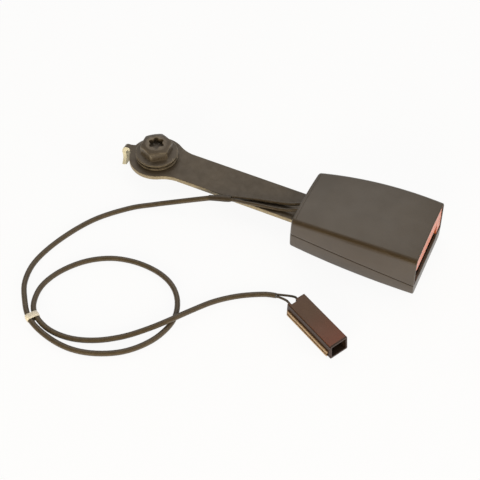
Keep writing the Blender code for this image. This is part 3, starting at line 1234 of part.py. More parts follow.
def make_lead():
    far_start, rest = lead_points(LEAD_FAR_Y)
    near_start, rest = lead_points(LEAD_NEAR_Y)
    gap = 0.5 * LEAD_DIAMETER + 0.2 * MM
    along = (CORD_SPLIT_END - CORD_SPLIT).normalized()
    side = Vector((-along.y, along.x, 0.0)).normalized()
    end = CORD_SPLIT - along * CLEAR
    far_end = end - side * gap
    near_end = end + side * gap
    drop = rest + STRAND_DROP
    far_route = list(far_start)
    far_route += [(99.0 * MM, -2.2 * MM, drop), (91.7 * MM, -3.7 * MM, rest), (84.2 * MM, -5.7 * MM, rest),
                  (76.6 * MM, -7.7 * MM, rest), (70.4 * MM, -9.7 * MM, rest)]
    far_route += [tuple(far_end - along * STRAND_RUN), tuple(far_end)]
    near_route = list(near_start)
    near_route += [(100.0 * MM, -7.5 * MM, drop), (94.0 * MM, -8.7 * MM, rest), (86.3 * MM, -10.3 * MM, rest),
                   (78.5 * MM, -11.6 * MM, rest), (71.9 * MM, -13.1 * MM, rest)]
    near_route += [tuple(near_end - along * STRAND_RUN), tuple(near_end)]
    cord("buckle_lead_far", far_route, LEAD_DIAMETER, LEAD_BLACK, 0.45)
    cord("buckle_lead_near", near_route, LEAD_DIAMETER, LEAD_BLACK, 0.45)
    sleeve_rings = []
    for part, size in ((0.0, 0.9), (0.06, 1.08), (0.5, 1.05), (0.9, 0.86), (1.0, 0.78)):
        centre = CORD_SPLIT.lerp(CORD_SPLIT_END, part)
        wide = 0.5 * JOINT_SLEEVE_DIAMETER * size
        up = along.cross(side)
        ring = []
        for k in range(14):
            angle = 2.0 * math.pi * k / 14.0
            ring.append(tuple(centre + side * (wide * math.cos(angle)) + up * (wide * math.sin(angle))))
        sleeve_rings.append(ring)
    finish(loft("joint_sleeve", sleeve_rings), LEAD_BLACK, 0.6)
    jacket = [tuple(0.001 * v for v in point) for point in CABLE_ROUTE]
    cord("cable", jacket, CABLE_DIAMETER, LEAD_BLACK, 0.45)
    end = Vector(jacket[-1])
    out = (end - Vector(jacket[-2])).normalized()
    beside = Vector((-out.y, out.x, 0.0)).normalized()
    for name, across, shift in (("plug_wire_near", PLUG_WAYS[0], -1.0), ("plug_wire_far", PLUG_WAYS[1], 1.0)):
        inside = plug_point(WIRE_IN, across, WIRE_HEIGHT)
        door = plug_point(-1.0 * MM, across, WIRE_HEIGHT)
        away = plug_point(-5.0 * MM, across - 0.4 * MM * shift, WIRE_HEIGHT - 0.6 * MM)
        offset = beside * (shift * 0.62 * WIRE_DIAMETER)
        first = tuple(end + out * CLEAR + offset)
        second = tuple(end + out * (2.0 * MM) + offset)
        cord(name, [first, second, away, door, inside], WIRE_DIAMETER, LEAD_BLACK, 0.45)


def make_tie():
    """Pale tape wound round both runs of the cable."""
    a = Vector(CABLE_ROUTE[10]) * 0.001
    b = Vector(CABLE_ROUTE[26]) * 0.001
    centre = (a + b) * 0.5
    spread = b - a
    spread.z = 0.0
    side = spread.normalized()
    along = Vector((side.y, -side.x, 0.0))
    half_span = 0.5 * spread.length
    inner = 0.5 * CABLE_DIAMETER + TIE_CLEAR
    rings = []
    for edge, reach in ((-1.0, inner), (1.0, inner), (1.0, inner + TIE_THICK), (-1.0, inner + TIE_THICK)):
        ring = []
        for end in (1.0, -1.0):
            for k in range(9):
                angle = math.radians(-90.0 + 22.5 * k) if end > 0.0 else math.radians(90.0 + 22.5 * k)
                place = centre + side * (end * half_span + reach * math.cos(angle))
                place = place + Vector((0.0, 0.0, reach * math.sin(angle))) + along * (edge * 0.5 * TIE_WIDTH)
                ring.append(tuple(place))
        rings.append(ring)
    count = len(rings[0])
    verts = [p for ring in rings for p in ring]
    faces = []
    for row in range(4):
        over = (row + 1) % 4
        for k in range(count):
            nxt = (k + 1) % count
            faces.append((row * count + k, row * count + nxt, over * count + nxt, over * count + k))
    finish(solid("tie", verts, faces), TAPE_WHITE, 0.6)


def make_sleeves():
    """Short sleeves that stiffen the strands where they leave the buckle."""
    for name, y in (("lead_sleeve_far", LEAD_FAR_Y), ("lead_sleeve_near", LEAD_NEAR_Y)):
        bore = 0.5 * LEAD_DIAMETER + CLEAR
        outer = bore + SLEEVE_WALL
        start = in_buckle(SENSOR_START) - CLEAR - SLEEVE_LENGTH
        sleeve = lathe(name, [(bore, 0.0), (outer, 0.0), (outer, SLEEVE_LENGTH), (bore, SLEEVE_LENGTH)],
                       (start, y, LEAD_HEIGHT), "x", ring=True, steps=16)
        finish(sleeve, NATURAL if y == LEAD_NEAR_Y else COVER_BLACK, 0.6)


CORD_PIECES = {"buckle_lead_far", "buckle_lead_near", "joint_sleeve", "cable", "tie", "plug_wire_near",
               "plug_wire_far", "plug_housing", "plug_terminal_near", "plug_terminal_far",
               "lead_sleeve_far", "lead_sleeve_near"}


def settle():
    """Bring the middle of the rigid pieces to the origin in plan."""
    bpy.context.view_layer.update()
    low = [1.0, 1.0]
    high = [-1.0, -1.0]
    for obj in bpy.data.objects:
        if obj.name in CORD_PIECES or obj.type != "MESH":
            continue
        for vert in obj.data.vertices:
            place = obj.matrix_world @ vert.co
            for k in range(2):
                low[k] = min(low[k], place[k])
                high[k] = max(high[k], place[k])
    for obj in bpy.data.objects:
        obj.location.x -= 0.5 * (low[0] + high[0])
        obj.location.y -= 0.5 * (low[1] + high[1])
    bpy.context.view_layer.update()


make_upper_cover()
make_lower_cover()
make_stalk()
make_anchor()
make_frame()
make_rivets()
make_latch()
make_ejector()
make_guide()
make_button()
make_latch_spring()
make_sensor()
make_plug()
make_lead()
make_sleeves()
make_tie()
settle()
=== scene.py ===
"""Looks of the seat belt buckle: camera, studio, materials and the detailed visible pieces.

Pieces are modelled with the bolt's axis at x = 0, as in the part's source, and then carried
to the row frame by BOLT_X. Lengths are in millimetres until a piece is made.
"""

from math import acos, atan2, cos, hypot, pi, radians, sin, sqrt, tan

import bmesh
import bpy
from mathutils import Matrix, Vector


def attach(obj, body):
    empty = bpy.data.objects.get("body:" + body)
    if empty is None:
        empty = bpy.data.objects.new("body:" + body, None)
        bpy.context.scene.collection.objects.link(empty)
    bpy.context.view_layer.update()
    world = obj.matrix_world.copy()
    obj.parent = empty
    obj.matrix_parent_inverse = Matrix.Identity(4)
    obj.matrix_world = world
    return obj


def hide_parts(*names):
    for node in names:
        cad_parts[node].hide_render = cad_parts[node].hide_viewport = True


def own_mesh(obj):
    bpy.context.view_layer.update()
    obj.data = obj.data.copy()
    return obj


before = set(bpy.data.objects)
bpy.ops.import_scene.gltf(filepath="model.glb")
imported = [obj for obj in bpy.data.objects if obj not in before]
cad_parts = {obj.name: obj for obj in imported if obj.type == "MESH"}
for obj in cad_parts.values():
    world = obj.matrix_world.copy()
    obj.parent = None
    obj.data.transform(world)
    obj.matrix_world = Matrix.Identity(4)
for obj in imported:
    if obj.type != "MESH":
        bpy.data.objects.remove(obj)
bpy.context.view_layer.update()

MM = 0.001
BOLT_X = -82.064
PLUG_PLACE = (127.2, -73.1)
PLUG_TURN = radians(-27.6)
PLUG_LENGTH = 39.0
PLUG_WIDTH = 13.2
PLUG_HEIGHT = 10.0
PLUG_WALL = 1.3
SOCKET_WIDTH = 10.6
SOCKET_HEIGHT = 7.4
PLUG_WAYS = (3.6, 9.6)


def link(obj):
    bpy.context.scene.collection.objects.link(obj)


# Camera, fitted to the photograph

CAMERA_AZIMUTH = radians(24.22)
CAMERA_ELEVATION = radians(49.79)
CAMERA_ROLL = radians(1.37)
CAMERA_DISTANCE = 600.0
CAMERA_TARGET = Vector((80.8 + BOLT_X, -40.6, 10.0))
FOCAL_PIXELS = 957.6
FRAME_PIXELS = 480.0
SENSOR = 36.0


def make_camera():
    flat = cos(CAMERA_ELEVATION)
    back = Vector((sin(CAMERA_AZIMUTH) * flat, -cos(CAMERA_AZIMUTH) * flat,
                   sin(CAMERA_ELEVATION)))
    right = (-back).cross(Vector((0.0, 0.0, 1.0))).normalized()
    up = right.cross(-back)
    c = cos(CAMERA_ROLL)
    s = sin(CAMERA_ROLL)
    turned_right = right * c + up * s
    turned_up = up * c - right * s
    data = bpy.data.cameras.new("camera")
    data.sensor_width = SENSOR
    data.lens = FOCAL_PIXELS / FRAME_PIXELS * SENSOR
    data.clip_start = 0.01
    data.clip_end = 20.0
    camera = bpy.data.objects.new("camera", data)
    link(camera)
    place = Matrix((turned_right, turned_up, back)).transposed().to_4x4()
    place.translation = (CAMERA_TARGET + back * CAMERA_DISTANCE) * MM
    camera.matrix_world = place
    bpy.context.scene.camera = camera


# Node helpers

class Nodes:
    """A node tree under construction."""

    def __init__(self, tree):
        self.tree = tree

    def node(self, kind, **settings):
        made = self.tree.nodes.new("ShaderNode" + kind)
        for key, value in settings.items():
            setattr(made, key, value)
        return made

    def feed(self, socket, value):
        if isinstance(value, bpy.types.NodeSocket):
            self.tree.links.new(value, socket)
        elif isinstance(value, tuple) and len(value) == 3 and socket.type == "RGBA":
            socket.default_value = (*value, 1.0)
        else:
            socket.default_value = value

    def ramp(self, value, low, high, out_low=0.0, out_high=1.0):
        made = self.node("MapRange", clamp=True)
        self.feed(made.inputs["Value"], value)
        limits = {"From Min": low, "From Max": high, "To Min": out_low, "To Max": out_high}
        for key, number in limits.items():
            self.feed(made.inputs[key], number)
        return made.outputs["Result"]

    def blend(self, share, a, b, output):
        """Two shaders, mixed into the tree's output."""
        made = self.node("MixShader")
        for socket, value in zip(made.inputs, (share, a, b)):
            self.feed(socket, value)
        self.feed(self.tree.nodes[output].inputs["Surface"], made.outputs[0])


class Look(Nodes):
    """A material under construction."""

    def __init__(self, name):
        self.material = bpy.data.materials.new(name)
        self.material.use_nodes = True
        super().__init__(self.material.node_tree)
        self.shader = self.tree.nodes["Principled BSDF"]
        self.place = self.node("TexCoord").outputs["Object"]

    def put(self, name, value):
        self.feed(self.shader.inputs[name], value)

    def stretched(self, factors):
        made = self.node("Mapping")
        self.feed(made.inputs["Vector"], self.place)
        made.inputs["Scale"].default_value = factors
        return made.outputs["Vector"]

    def noise(self, scale, detail=3.0, rough=0.5, place=None, twist=0.0):
        made = self.node("TexNoise")
        self.feed(made.inputs["Vector"], place or self.place)
        made.inputs["Scale"].default_value = scale
        made.inputs["Detail"].default_value = detail
        made.inputs["Roughness"].default_value = rough
        made.inputs["Distortion"].default_value = twist
        return made.outputs["Fac"]

    def cells(self, scale):
        made = self.node("TexVoronoi")
        self.feed(made.inputs["Vector"], self.place)
        made.inputs["Scale"].default_value = scale
        return made.outputs["Distance"]

    def math(self, kind, a, b=0.0):
        made = self.node("Math", operation=kind)
        self.feed(made.inputs[0], a)
        self.feed(made.inputs[1], b)
        return made.outputs[0]

    def mix(self, share, a, b):
        made = self.node("Mix", data_type="RGBA")
        self.feed(made.inputs["Factor"], share)
        self.feed(made.inputs[6], a)
        self.feed(made.inputs[7], b)
        return made.outputs[2]

    def facing(self, axis):
        """How far a face turns to an axis, from 0 to 1, either way."""
        geometry = self.node("NewGeometry")
        made = self.node("SeparateXYZ")
        self.feed(made.inputs[0], geometry.outputs["Normal"])
        return self.math("ABSOLUTE", made.outputs[axis])

    def edge(self):
        """Convex edges, from the mesh's pointiness."""
        return self.node("NewGeometry").outputs["Pointiness"]

    def bump(self, height, strength, distance):
        made = self.node("Bump")
        made.inputs["Strength"].default_value = strength
        made.inputs["Distance"].default_value = distance * MM
        self.feed(made.inputs["Height"], height)
        self.feed(self.shader.inputs["Normal"], made.outputs["Normal"])


def moulded(name, dark, light, rough, cell=2600.0, depth=0.03, gloss=0.5, coat=0.0, tint=None):
    """Moulded plastic: fine spark-eroded grain, soft flow marks and uneven shine."""
    look = Look(name)
    flow = look.noise(38.0, 4.0, 0.6, twist=0.8)
    specks = look.noise(1400.0, 2.0)
    tone = look.math("ADD", look.math("MULTIPLY", flow, 0.7), look.math("MULTIPLY", specks, 0.3))
    base = look.mix(look.ramp(tone, 0.3, 0.7), dark, light)
    look.put("Base Color", tint(look, base) if tint else base)
    look.put("Roughness", look.ramp(look.noise(90.0, 3.0), 0.3, 0.7, rough - 0.05, rough + 0.05))
    look.put("Specular IOR Level", gloss)
    look.put("Coat Weight", coat)
    grain = look.math("ADD", look.cells(cell), look.math("MULTIPLY", look.noise(0.4 * cell, 2.0), 0.6))
    look.bump(grain, 0.35, depth)
    return look.material


PLUG_RED = (0.165, 0.050, 0.030)
PLUG_SIDE_SHADE = (0.030, 0.014, 0.006)
PLUG_RIM = (0.030, 0.014, 0.008)
PLUG_SOCKET_SHADE = (0.018, 0.011, 0.008)
PLUG_RIB_HIGHLIGHT = (0.36, 0.25, 0.15)


def plug_tint(look, base):
    """The plug's near ribs get a painted highlight, its near side face a painted shade, the inside of
    its socket a painted shade, and its mouth end is redder.
    """
    turned = look.node("Mapping", vector_type="TEXTURE")
    look.feed(turned.inputs["Vector"], look.place)
    turned.inputs["Location"].default_value = ((PLUG_PLACE[0] + BOLT_X) * MM, PLUG_PLACE[1] * MM, 0.0)
    turned.inputs["Rotation"].default_value = (0.0, 0.0, PLUG_TURN)
    split = look.node("SeparateXYZ")
    look.feed(split.inputs[0], turned.outputs["Vector"])
    along = split.outputs[0]
    across = split.outputs[1]
    height = split.outputs[2]
    base = look.mix(look.ramp(along, 14.0 * MM, 38.0 * MM, 0.0, 0.75), base, PLUG_RED)
    # Painted shade on the near side face of the plug.
    base = look.mix(look.ramp(across, 0.6 * MM, 0.2 * MM), base, PLUG_SIDE_SHADE)
    base = look.mix(look.ramp(along, 38.0 * MM, 38.5 * MM), base, PLUG_RIM)
    # Painted shade: the inside of the socket is darkened.
    hollow = look.ramp(along, 20.0 * MM, 26.0 * MM)
    for value, reach in ((across, SOCKET_WIDTH), (height, SOCKET_HEIGHT)):
        for edge, out in ((PLUG_WALL, -1.0), (PLUG_WALL + reach, 1.0)):
            inside = look.ramp(value, (edge + 0.10 * out) * MM, (edge + 0.02 * out) * MM)
            hollow = look.math("MULTIPLY", hollow, inside)
    base = look.mix(hollow, base, PLUG_SOCKET_SHADE)
    # Painted highlight on the near ribs, broken up by noise.
    rubbed = look.ramp(look.noise(500.0, 4.0, 0.7), 0.3, 0.6, 0.6, 1.0)
    rib = look.math("MULTIPLY", look.ramp(across, -0.1 * MM, -0.5 * MM), rubbed)
    return look.mix(rib, base, PLUG_RIB_HIGHLIGHT)


def coated_steel(name, dark, light, bare_and_highlight, rough, metal, edge_from=None):
    """Black coated pressed steel: orange peel, rubbed high spots and edge wear. The edges start at a
    pointiness of the mesh or, on a flat strap, come from how far its rounded rim tilts. On the bolt,
    which takes the pointiness, the edge wear also serves as a painted highlight on the flange rim, in a
    pale tan."""
    look = Look(name)
    cloud = look.noise(70.0, 5.0, 0.6)
    base = look.mix(look.ramp(cloud, 0.35, 0.68), dark, light)
    broken = look.ramp(look.noise(420.0, 4.0, 0.7), 0.34, 0.60)
    if edge_from is None:
        tilt = look.facing(2)
        wear_and_rim_highlight = look.math("MINIMUM", look.ramp(tilt, 0.3, 0.5), look.ramp(tilt, 0.96, 0.86))
    else:
        # From pointiness, as on the bolt: wear on the edges, and also a painted highlight on the flange
        # rim.
        wear_and_rim_highlight = look.ramp(look.edge(), edge_from, edge_from + 0.06)
    share = look.math("MULTIPLY", look.math("MULTIPLY", wear_and_rim_highlight, broken), 0.6)
    look.put("Base Color", look.mix(share, base, bare_and_highlight))
    look.put("Metallic", look.math("MAXIMUM", share, metal))
    look.put("Roughness", look.ramp(look.noise(240.0, 4.0), 0.3, 0.7, rough - 0.07, rough + 0.08))
    look.put("Specular IOR Level", 0.6)
    peel = look.math("ADD", look.noise(900.0, 2.0), look.math("MULTIPLY", look.cells(2200.0), 0.4))
    look.bump(peel, 0.3, 0.03)
    return look.material


def sheared_steel(name, dark, light, rough):
    """The strap's cut edge: a burnished and a torn band with fine streaks across the thickness. Its pale
    tan is partly the uncoated steel and partly a painted reflection of the white floor; on the tab the
    cream colour is a painted highlight."""
    look = Look(name)
    streak = look.noise(1100.0, 4.0, 0.7, look.stretched((1.0, 1.0, 0.15)))
    cloud = look.noise(160.0, 4.0, 0.6)
    tone = look.math("ADD", look.math("MULTIPLY", streak, 0.6), look.math("MULTIPLY", cloud, 0.4))
    look.put("Base Color", look.mix(look.ramp(tone, 0.3, 0.62), dark, light))
    look.put("Roughness", look.ramp(cloud, 0.3, 0.7, rough - 0.06, rough + 0.08))
    look.bump(streak, 0.3, 0.03)
    return look.material


def plated_steel(name, tone, rough, brush=(1.0, 14.0, 14.0), turn=0.35):
    """Zinc plated spring or plate steel with fine draw lines and a dull bloom."""
    look = Look(name)
    lines = look.noise(420.0, 4.0, 0.65, look.stretched(brush))
    bloom = look.noise(60.0, 5.0, 0.6)
    dull = tuple(0.62 * v for v in tone)
    look.put("Base Color", look.mix(look.ramp(bloom, 0.35, 0.7), tone, dull))
    look.put("Metallic", 0.95)
    look.put("Roughness", look.ramp(lines, 0.3, 0.7, rough - 0.08, rough + 0.1))
    look.put("Anisotropic", turn)
    look.bump(lines, 0.22, 0.02)
    return look.material


def rubber(name, dark, light, rough, scale=260.0):
    """Cable jacket: soft extruded skin with dust, faint scuffs and slow waves of shine."""
    look = Look(name)
    dust = look.noise(scale, 5.0, 0.7)
    waves = look.noise(45.0, 2.0)
    base = look.mix(look.ramp(dust, 0.42, 0.72), dark, light)
    look.put("Base Color", look.mix(look.ramp(waves, 0.35, 0.7, 0.0, 0.35), base, light))
    look.put("Roughness", look.ramp(look.noise(130.0, 3.0), 0.3, 0.7, rough - 0.06, rough + 0.08))
    look.put("Specular IOR Level", 0.5)
    look.bump(look.math("ADD", look.noise(900.0, 3.0), look.math("MULTIPLY", dust, 0.5)), 0.12, 0.02)
    return look.material


LOOKS = {
    "cover": moulded("cover_plastic", (0.040, 0.027, 0.014), (0.051, 0.035, 0.018), 0.36, gloss=0.85),
    "guide": moulded("guide_plastic", (0.02, 0.018, 0.016), (0.03, 0.026, 0.022), 0.5, 1800.0),
    "button": moulded("button_plastic", (0.50, 0.120, 0.042), (0.56, 0.150, 0.055), 0.30, 3200.0,
                      0.006),
    "natural": moulded("natural_plastic", (0.52, 0.48, 0.40), (0.62, 0.58, 0.50), 0.42, 1500.0, 0.02),
    "plug": moulded("plug_plastic", (0.074, 0.037, 0.021), (0.104, 0.057, 0.034), 0.42, 1500.0,
                    gloss=0.4, tint=plug_tint),
    "sleeve": rubber("sleeve_rubber", (0.16, 0.14, 0.10), (0.24, 0.20, 0.15), 0.5),
    "jacket": rubber("cable_jacket", (0.058, 0.043, 0.026), (0.086, 0.066, 0.042), 0.36),
    # The joint sleeve is darker than the jacket: painted shade where the cable crosses the strap's edge.
    "joint": rubber("joint_sleeve", (0.036, 0.027, 0.018), (0.056, 0.043, 0.028), 0.40),
    "strand": rubber("strand_jacket", (0.046, 0.035, 0.023), (0.070, 0.054, 0.036), 0.30, 500.0),
    "strap": coated_steel("strap_coating", (0.066, 0.051, 0.035), (0.088, 0.069, 0.048),
                          (0.34, 0.29, 0.22), 0.42, 0.25),
    # The strap's pale cut edge is partly uncoated steel, partly a painted reflection of the white floor.
    "strap_edge_and_reflection": sheared_steel("strap_cut_edge_and_reflection", (0.19, 0.16, 0.115), (0.32, 0.28, 0.21), 0.5),
    # The tab's cream faces are partly uncoated steel, partly a painted highlight from the light above.
    "tab_edge_and_highlight": sheared_steel("tab_cut_edge_and_highlight", (0.54, 0.53, 0.44), (0.67, 0.66, 0.56), 0.5),
    # The bolt's pale tan edge colour is partly wear and partly a painted highlight on its flange rim.
    "bolt": coated_steel("bolt_coating", (0.054, 0.043, 0.030), (0.086, 0.068, 0.050),
                         (0.40, 0.34, 0.25), 0.34, 0.3, 0.505),
    "steel": plated_steel("plated_steel", (0.55, 0.53, 0.49), 0.34),
    "spring": plated_steel("spring_steel", (0.50, 0.50, 0.50), 0.26, (14.0, 14.0, 14.0), 0.1),
    "brass": plated_steel("terminal_brass", (0.62, 0.46, 0.20), 0.28),
    "board": moulded("circuit_board", (0.02, 0.12, 0.05), (0.03, 0.17, 0.075), 0.3, 900.0, 0.02,
                     gloss=0.6, coat=0.3),
    "tape": rubber("tape_white", (0.70, 0.66, 0.57), (0.84, 0.80, 0.71), 0.62, 700.0),
}

NODES_BY_LOOK = {
    "cover": "upper_cover lower_cover",
    "strap": "stalk",
    "bolt": "anchor_bolt bolt_washer wave_washer",
    "steel": "spacer_bush frame frame_rivet_rear frame_rivet_front latch latch_pin lift_bar "
             "ejector_magnet",
    "natural": "retaining_ring ejector",
    "spring": "latch_spring ejector_spring button_spring_left button_spring_right",
    "guide": "tongue_guide sensor_body sensor_chip",
    "button": "release_button",
    "board": "sensor_board",
    "brass": "lead_crimp_far lead_crimp_near plug_terminal_near plug_terminal_far",
    "strand": "lead_sleeve_far buckle_lead_far buckle_lead_near plug_wire_near plug_wire_far",
    "sleeve": "lead_sleeve_near",
    "joint": "joint_sleeve",
    "jacket": "cable",
    "tape": "tie",
    "plug": "plug_housing",
}

NODES_BY_BROKEN_EDGE = {
    0.05: "sensor_board",
    0.06: "lead_crimp_far lead_crimp_near",
    0.08: "sensor_chip",
    0.1: "ejector_magnet plug_terminal_near plug_terminal_far",
    0.12: "lift_bar lead_sleeve_far lead_sleeve_near",
    0.15: "bolt_washer frame_rivet_rear frame_rivet_front latch_pin",
    0.2: "spacer_bush retaining_ring latch tongue_guide sensor_body",
    0.25: "frame ejector",
}


def dress_nodes():
    """Each CAD node that stays gets its material, merged corners and small broken edges."""
    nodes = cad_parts
    for look, names in NODES_BY_LOOK.items():
        for name in names.split():
            nodes[name].data.materials.clear()
            nodes[name].data.materials.append(LOOKS[look])
    for width, names in NODES_BY_BROKEN_EDGE.items():
        for name in names.split():
            weld = nodes[name].modifiers.new("weld", "WELD")
            weld.merge_threshold = 0.002 * MM
            soften(nodes[name], width)


def soften(obj, width):
    bevel = obj.modifiers.new("bevel", "BEVEL")
    bevel.width = width * MM
    bevel.segments = 2
    bevel.limit_method = "ANGLE"
    bevel.angle_limit = radians(35.0)
    bevel.harden_normals = True
    bevel.use_clamp_overlap = True
    obj.data.shade_smooth()


# Studio

FLOOR_HALF = 3.0
FLOOR_SHARE = 0.92
SKY_BEHIND = 0.03
SKY_FAR = 0.58
SKY_TINT = (1.0, 0.93, 0.84, 1.0)


def make_studio():
    bpy.context.scene.view_settings.view_transform = "Standard"
    mesh = bpy.data.meshes.new("floor")
    corners = [(-FLOOR_HALF, -FLOOR_HALF, 0.0), (FLOOR_HALF, -FLOOR_HALF, 0.0),
               (FLOOR_HALF, FLOOR_HALF, 0.0), (-FLOOR_HALF, FLOOR_HALF, 0.0)]
    mesh.from_pydata(corners, [], [(0, 1, 2, 3)])
    floor = bpy.data.objects.new("floor", mesh)
    floor.location.z = -0.1 * MM
    link(floor)
    look = Look("floor_white")
    look.put("Base Color", (0.92, 0.92, 0.91))
    look.put("Roughness", 0.85)
    glow = look.node("Emission")
    glow.inputs["Color"].default_value = (1.0, 1.0, 1.0, 1.0)
    path = look.node("LightPath").outputs
    seen = look.math("MAXIMUM", path["Is Camera Ray"], path["Is Glossy Ray"])
    seen = look.math("MAXIMUM", seen, path["Is Transmission Ray"])
    look.blend(look.math("MULTIPLY", seen, FLOOR_SHARE), look.shader.outputs[0], glow.outputs[0],
               "Material Output")
    mesh.materials.append(look.material)
    make_world()
    add_lamp("top_softbox", (-0.35, 0.55, 1.0), size=1.1, power=2.9, colour=(1.0, 0.95, 0.88))
    add_lamp("front_fill", (0.10, -1.2, 0.14), size=0.8, power=23.0, colour=(1.0, 0.86, 0.60),
             glossy=False)
    add_lamp("side_fill", (1.2, 0.05, 0.35), size=0.8, power=9.0, colour=(1.0, 0.92, 0.80),
             glossy=False)


def make_world():
    """White to the camera. To the object: bright far and overhead, dark behind the camera."""
    world = bpy.data.worlds.new("studio")
    bpy.context.scene.world = world
    world.use_nodes = True
    sky = Nodes(world.node_tree)
    split = sky.node("SeparateXYZ")
    sky.feed(split.inputs[0], sky.node("TexCoord").outputs["Generated"])
    ground = sky.tree.nodes["Background"]
    ground.inputs["Color"].default_value = SKY_TINT
    sky.feed(ground.inputs["Strength"], sky.ramp(split.outputs[1], -0.75, 0.4, SKY_BEHIND, SKY_FAR))
    white = sky.node("Background")
    white.inputs["Color"].default_value = (1.0, 1.0, 1.0, 1.0)
    sky.blend(sky.node("LightPath").outputs["Is Camera Ray"], ground.outputs[0], white.outputs[0],
              "World Output")


def add_lamp(name, place, size, power, colour, glossy=True):
    data = bpy.data.lights.new(name, "AREA")
    data.shape = "SQUARE"
    data.size = size
    data.energy = power
    data.color = colour
    lamp = bpy.data.objects.new(name, data)
    lamp.location = place
    lamp.rotation_euler = (-Vector(place)).to_track_quat("-Z", "Y").to_euler()
    lamp.visible_glossy = glossy
    link(lamp)


# Mesh helpers, in millimetres and the bolt's frame

def mesh_piece(name, verts, faces):
    mesh = bpy.data.meshes.new(name)
    mesh.from_pydata([tuple(v) for v in verts], [], faces)
    piece = bpy.data.objects.new(name, mesh)
    link(piece)
    work = bmesh.new()
    work.from_mesh(mesh)
    bmesh.ops.recalc_face_normals(work, faces=work.faces)
    work.to_mesh(mesh)
    work.free()
    return piece


def loft(name, rings, around=False):
    """Skin rings of equal length. Around joins the last ring to the first."""
    count = len(rings[0])
    verts = [p for ring in rings for p in ring]
    faces = []
    rows = len(rings)
    for row in range(rows if around else rows - 1):
        base = row * count
        over = ((row + 1) % rows) * count
        for k in range(count):
            nxt = (k + 1) % count
            faces.append((base + k, base + nxt, over + nxt, over + k))
    if not around:
        faces.append(tuple(range(count)))
        faces.append(tuple(range((rows - 1) * count, rows * count)))
    return mesh_piece(name, verts, faces)


def shell(name, columns):
    """A sheet with thickness. The columns are open arches: the first half goes along the outside, the
    second half comes back along the inside, and the arches' ends are closed between the two."""
    count = len(columns[0])
    total = len(columns)
    verts = [p for column in columns for p in column]
    faces = []
    for i in range(total):
        base = i * count
        over = ((i + 1) % total) * count
        for k in range(count - 1):
            faces.append((base + k, base + k + 1, over + k + 1, over + k))
    for k in (0, count - 1):
        for i in range(total // 2 - 1):
            faces.append((i * count + k, (i + 1) * count + k, (total - 2 - i) * count + k,
                          (total - 1 - i) * count + k))
    return mesh_piece(name, verts, faces)


PLACE_ALONG = {
    "x": lambda a, b, level: (level, a, b),
    "y": lambda a, b, level: (a, level, b),
    "z": lambda a, b, level: (a, b, level),
}


def prism(name, outline, low, high, axis="z"):
    place = PLACE_ALONG[axis]
    return loft(name, [[place(a, b, level) for a, b in outline] for level in (low, high)])


def box(name, x0, x1, y0, y1, z0, z1):
    return prism(name, [(x0, y0), (x1, y0), (x1, y1), (x0, y1)], z0, z1)


def rod(name, radius, start, end, axis, centre, steps=40):
    outline = []
    for k in range(steps):
        angle = 2.0 * pi * k / steps
        outline.append((centre[0] + radius * cos(angle), centre[1] + radius * sin(angle)))
    return prism(name, outline, start, end, axis)


def combine(target, tools, operation):
    for tool in tools:
        step = target.modifiers.new("cut", "BOOLEAN")
        step.operation = operation
        step.solver = "EXACT"
        step.object = tool
        bpy.context.view_layer.update()
        graph = bpy.context.evaluated_depsgraph_get()
        made = bpy.data.meshes.new_from_object(target.evaluated_get(graph))
        target.modifiers.clear()
        target.data = made
        bpy.data.objects.remove(tool, do_unlink=True)
    return target


def show(piece, node, look, body="buckle", sharp=40.0):
    """Carry a finished piece to the row frame and let it stand for its CAD node."""
    mesh = piece.data
    mesh.transform(Matrix.Translation((BOLT_X, 0.0, 0.0)))
    mesh.transform(Matrix.Diagonal((MM, MM, MM, 1.0)))
    mesh.materials.clear()
    mesh.materials.append(LOOKS[look])
    mesh.shade_smooth()
    mesh.set_sharp_from_angle(angle=radians(sharp))
    flat = piece.modifiers.new("flat", "WEIGHTED_NORMAL")
    flat.keep_sharp = True
    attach(piece, body)
    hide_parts(node)
    return piece


# Housing

REAR_X = 108.4
COVER_REAR = 107.5
MOUTH_X = 189.2
COVER_LENGTH = MOUTH_X - COVER_REAR
WALL = 1.9
LIP_WALL = 1.0
FRONT_HEIGHT = 31.35
SEAM_GAP = 0.4
EDGE = 0.3
CROWN = 1.3
REAR_HALF = 24.54
HALF_GAIN = 3.08
HALF_BOW = 1.75
REAR_HEIGHT = 24.55
HEIGHT_GAIN = 6.8
HEIGHT_BOW = 2.42
SEAM_REAR = 12.3
SEAM_DROP = 3.2
SEAM_BOW = 0.9
RAKE = 2.0
REAR_ROUND = 1.5
FRONT_ROUND = 0.7
TOP_ROUND = 3.8
FLOOR_ROUND = 3.0
STATIONS = 24
SIDE_STEPS = 6
ARC_STEPS = 10


def bow(part):
    return 4.0 * part * (1.0 - part)


def eased(part):
    return part * part * (3.0 - 2.0 * part)


def share_at(x):
    return (x - COVER_REAR) / COVER_LENGTH


def half_width(part):
    return REAR_HALF + HALF_GAIN * part + HALF_BOW * bow(part)


def top_height(part):
    return REAR_HEIGHT + HEIGHT_GAIN * part + HEIGHT_BOW * bow(part)


def wall(part):
    """The wall thins toward the mouth."""
    return WALL - (WALL - LIP_WALL) * eased(min(1.0, max(0.0, (part - 0.76) / 0.16)))


def seam(part):
    """The top of the lower cover. The upper cover starts SEAM_GAP above it."""
    return SEAM_REAR - SEAM_DROP * part * part + SEAM_BOW * bow(part)


def raked(x, height):
    part = share_at(x)
    return x + RAKE * part * part * (1.0 - height / FRONT_HEIGHT)


